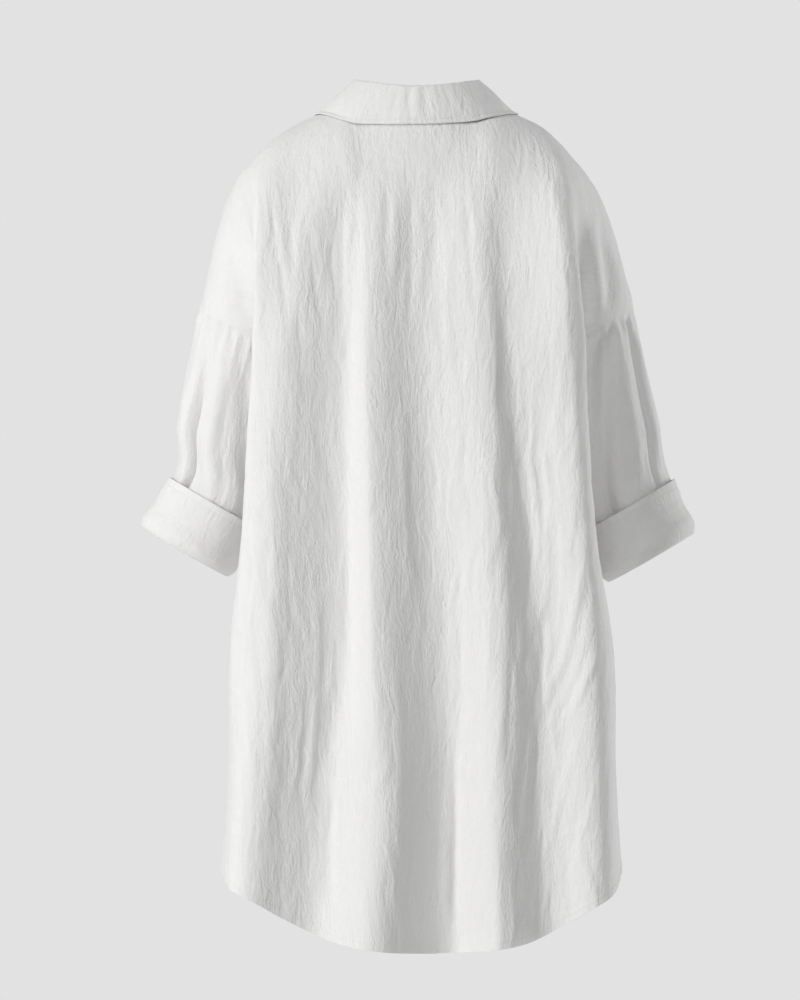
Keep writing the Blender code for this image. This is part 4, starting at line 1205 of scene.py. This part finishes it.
# Buttons
# Eight small cream buttons of pearly resin, turned with a raised rim and a dished middle, and
# sewn on through four holes. The thread goes on down through the band, so they stay.
BUTTON_WIDE = 0.0056
BUTTON_DEEP = 0.0022
BUTTON_HOLE = 0.00062
BUTTON_TOP = BUTTON_DEEP - 0.00045  # the dished middle, where the thread lies
BUTTON_HOLES = 0.00115  # from the middle to each hole, sideways and upwards

pearl = Finish("pearly resin")
where = pearl.add("ShaderNodeTexCoord", output=3)
cloud = pearl.noise(where, 260.0, Distortion=1.2)
milk = pearl.ramp(cloud, (0.30, (0.74, 0.71, 0.66)), (0.55, (0.84, 0.82, 0.79)),
                  (0.80, (0.88, 0.87, 0.86)))
scuff = pearl.noise(where, 1900.0)
grain = pearl.bump(scuff, 0.15, 0.0001)
pearl.give(Base_Color=milk, Roughness=0.22 + scuff * 0.16, Normal=grain)
pearl.give(Coat_Weight=0.3, Coat_Roughness=0.12)


def top_face(mesh):
    """The button's flat top, which has more corners than any other face but the bottom's."""
    return [max((face for face in mesh.polygons if len(face.vertices) > 12),
                key=lambda face: face.center.z)]


bpy.ops.object.select_all(action="DESELECT")
bpy.ops.mesh.primitive_cylinder_add(vertices=36, radius=BUTTON_WIDE, depth=BUTTON_DEEP,
                                    location=(0, 0, BUTTON_DEEP / 2))
button = bpy.context.object
bpy.ops.object.transform_apply(location=True, rotation=False, scale=False)
for width, depth in ((0.0008, 0.0), (0.0007, -0.00055), (0.0006, -0.0001)):
    pick("FACE", top_face)
    bpy.ops.mesh.inset(thickness=width, depth=depth)
    bpy.ops.object.mode_set(mode="OBJECT")
softened = button.modifiers.new("softened", "BEVEL")
softened.width = 0.0003
softened.segments = 2
softened.limit_method = "ANGLE"
softened.angle_limit = math.radians(50)
bpy.ops.object.modifier_apply(modifier=softened.name)
drills = []
for x in (-1, 1):
    for y in (-1, 1):
        bpy.ops.mesh.primitive_cylinder_add(vertices=12, radius=BUTTON_HOLE, depth=0.01,
                                            location=(x * BUTTON_HOLES, y * BUTTON_HOLES, 0))
        drills.append(bpy.context.object)
for drill in drills:
    bpy.ops.object.select_all(action="DESELECT")
    bpy.context.view_layer.objects.active = button
    cut = button.modifiers.new("hole", "BOOLEAN")
    cut.operation = "DIFFERENCE"
    cut.object = drill
    bpy.ops.object.modifier_apply(modifier=cut.name)
    bpy.data.objects.remove(drill, do_unlink=True)
bpy.ops.object.select_all(action="DESELECT")
button.select_set(True)
bpy.ops.object.shade_smooth_by_angle(angle=math.radians(35))
for count, (place, up, facing) in enumerate(seats, 1):
    made = seat(button, f"button_{count}_sewn", pearl, place, up, facing)
    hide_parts(f"button_{count}")
    across = np.cross(up, facing)
    spots = [place + up * (y * BUTTON_HOLES + off) + facing * BUTTON_TOP
             for y in (-1, 1) for off in (-0.00022, 0.00022)]
    shank = [place + across * x * BUTTON_HOLES + up * y * BUTTON_HOLES + facing * 0.0004
             for x in (-1, 1) for y in (-1, 1)]
    sewn_points, sewn_faces = beads(np.array(spots), across, facing)
    more_points, more_faces = beads(np.array(shank), facing, up)
    shift = len(sewn_points)
    thread_piece(f"button_{count}_thread", np.concatenate([sewn_points, more_points]),
                 sewn_faces + [[corner + shift for corner in face] for face in more_faces])
bpy.data.objects.remove(button, do_unlink=True)


# Studio
# A pale floor well below the hem, even light all round, and one large soft light from the
# left, at the height of the shoulders, which brings out the folds. Weaker soft lights fill
# the shadows: one by the camera, one above, one on the front and one at each edge.
FLOOR = -1.34
FLOOR_WIDE = 2.4
CAMERA_AWAY = 5.0
VIEW_TALL = 1.08  # metres from the top of the picture to its bottom
VIEW_CENTRE = (-0.0178, -0.4147)
LIGHTS = (  # name, place, size in metres, watts
    ("key", (-3.0, -2.35, 0.5), (1.0, 1.6), 103),
    ("fill", (1.4, -4.5, 0.6), (3.0, 3.0), 22),
    ("top light", (0.5, -1.3, 2.6), (1.6, 1.6), 21),
    ("front light", (-1.2, 4.3, 0.9), (2.6, 2.6), 34),
    ("edge light right", (3.0, 1.2, -0.2), (0.8, 1.8), 46),
    ("edge light left", (-3.0, 1.4, -0.2), (0.8, 1.8), 16),
)


def lamp(name, place, aim, size, watts):
    """A square soft light that looks from its place at a point."""
    bpy.ops.object.light_add(type="AREA", location=place)
    made = bpy.context.object
    made.name = name
    made.data.shape = "RECTANGLE"
    made.data.size, made.data.size_y = size
    made.data.energy = watts
    made.rotation_euler = (Vector(place) - Vector(aim)).to_track_quat("Z", "Y").to_euler()


bpy.ops.object.select_all(action="DESELECT")
bpy.ops.mesh.primitive_circle_add(vertices=96, radius=FLOOR_WIDE, fill_type="NGON",
                                  location=(0, 0, FLOOR))
floor = bpy.context.object
floor.name = "floor"
pale = Finish("pale floor")
pale.give(Base_Color=(0.78, 0.78, 0.78, 1), Roughness=0.8)
floor.data.materials.append(pale.material)

surround = bpy.data.worlds.new("studio")
bpy.context.scene.world = surround
surround.use_nodes = True
tree = surround.node_tree
seen, lit = tree.nodes["Background"], tree.nodes.new("ShaderNodeBackground")
seen.inputs["Color"].default_value = (0.760, 0.760, 0.760, 1)
lit.inputs["Color"].default_value = (0.20, 0.202, 0.207, 1)
ray, choice = tree.nodes.new("ShaderNodeLightPath"), tree.nodes.new("ShaderNodeMixShader")
tree.links.new(ray.outputs["Is Camera Ray"], choice.inputs["Fac"])
tree.links.new(lit.outputs[0], choice.inputs[1])
tree.links.new(seen.outputs[0], choice.inputs[2])
tree.links.new(choice.outputs[0], tree.nodes["World Output"].inputs["Surface"])

middle = (0, 0, VIEW_CENTRE[1])
for name, place, size, watts in LIGHTS:
    lamp(name, place, middle, size, watts)

bpy.ops.object.camera_add(location=(VIEW_CENTRE[0], -CAMERA_AWAY, VIEW_CENTRE[1]),
                          rotation=(math.pi / 2, 0, 0))
camera = bpy.context.object
camera.data.lens = camera.data.sensor_width * CAMERA_AWAY / VIEW_TALL
bpy.context.scene.camera = camera
bpy.context.scene.view_settings.view_transform = "Standard"
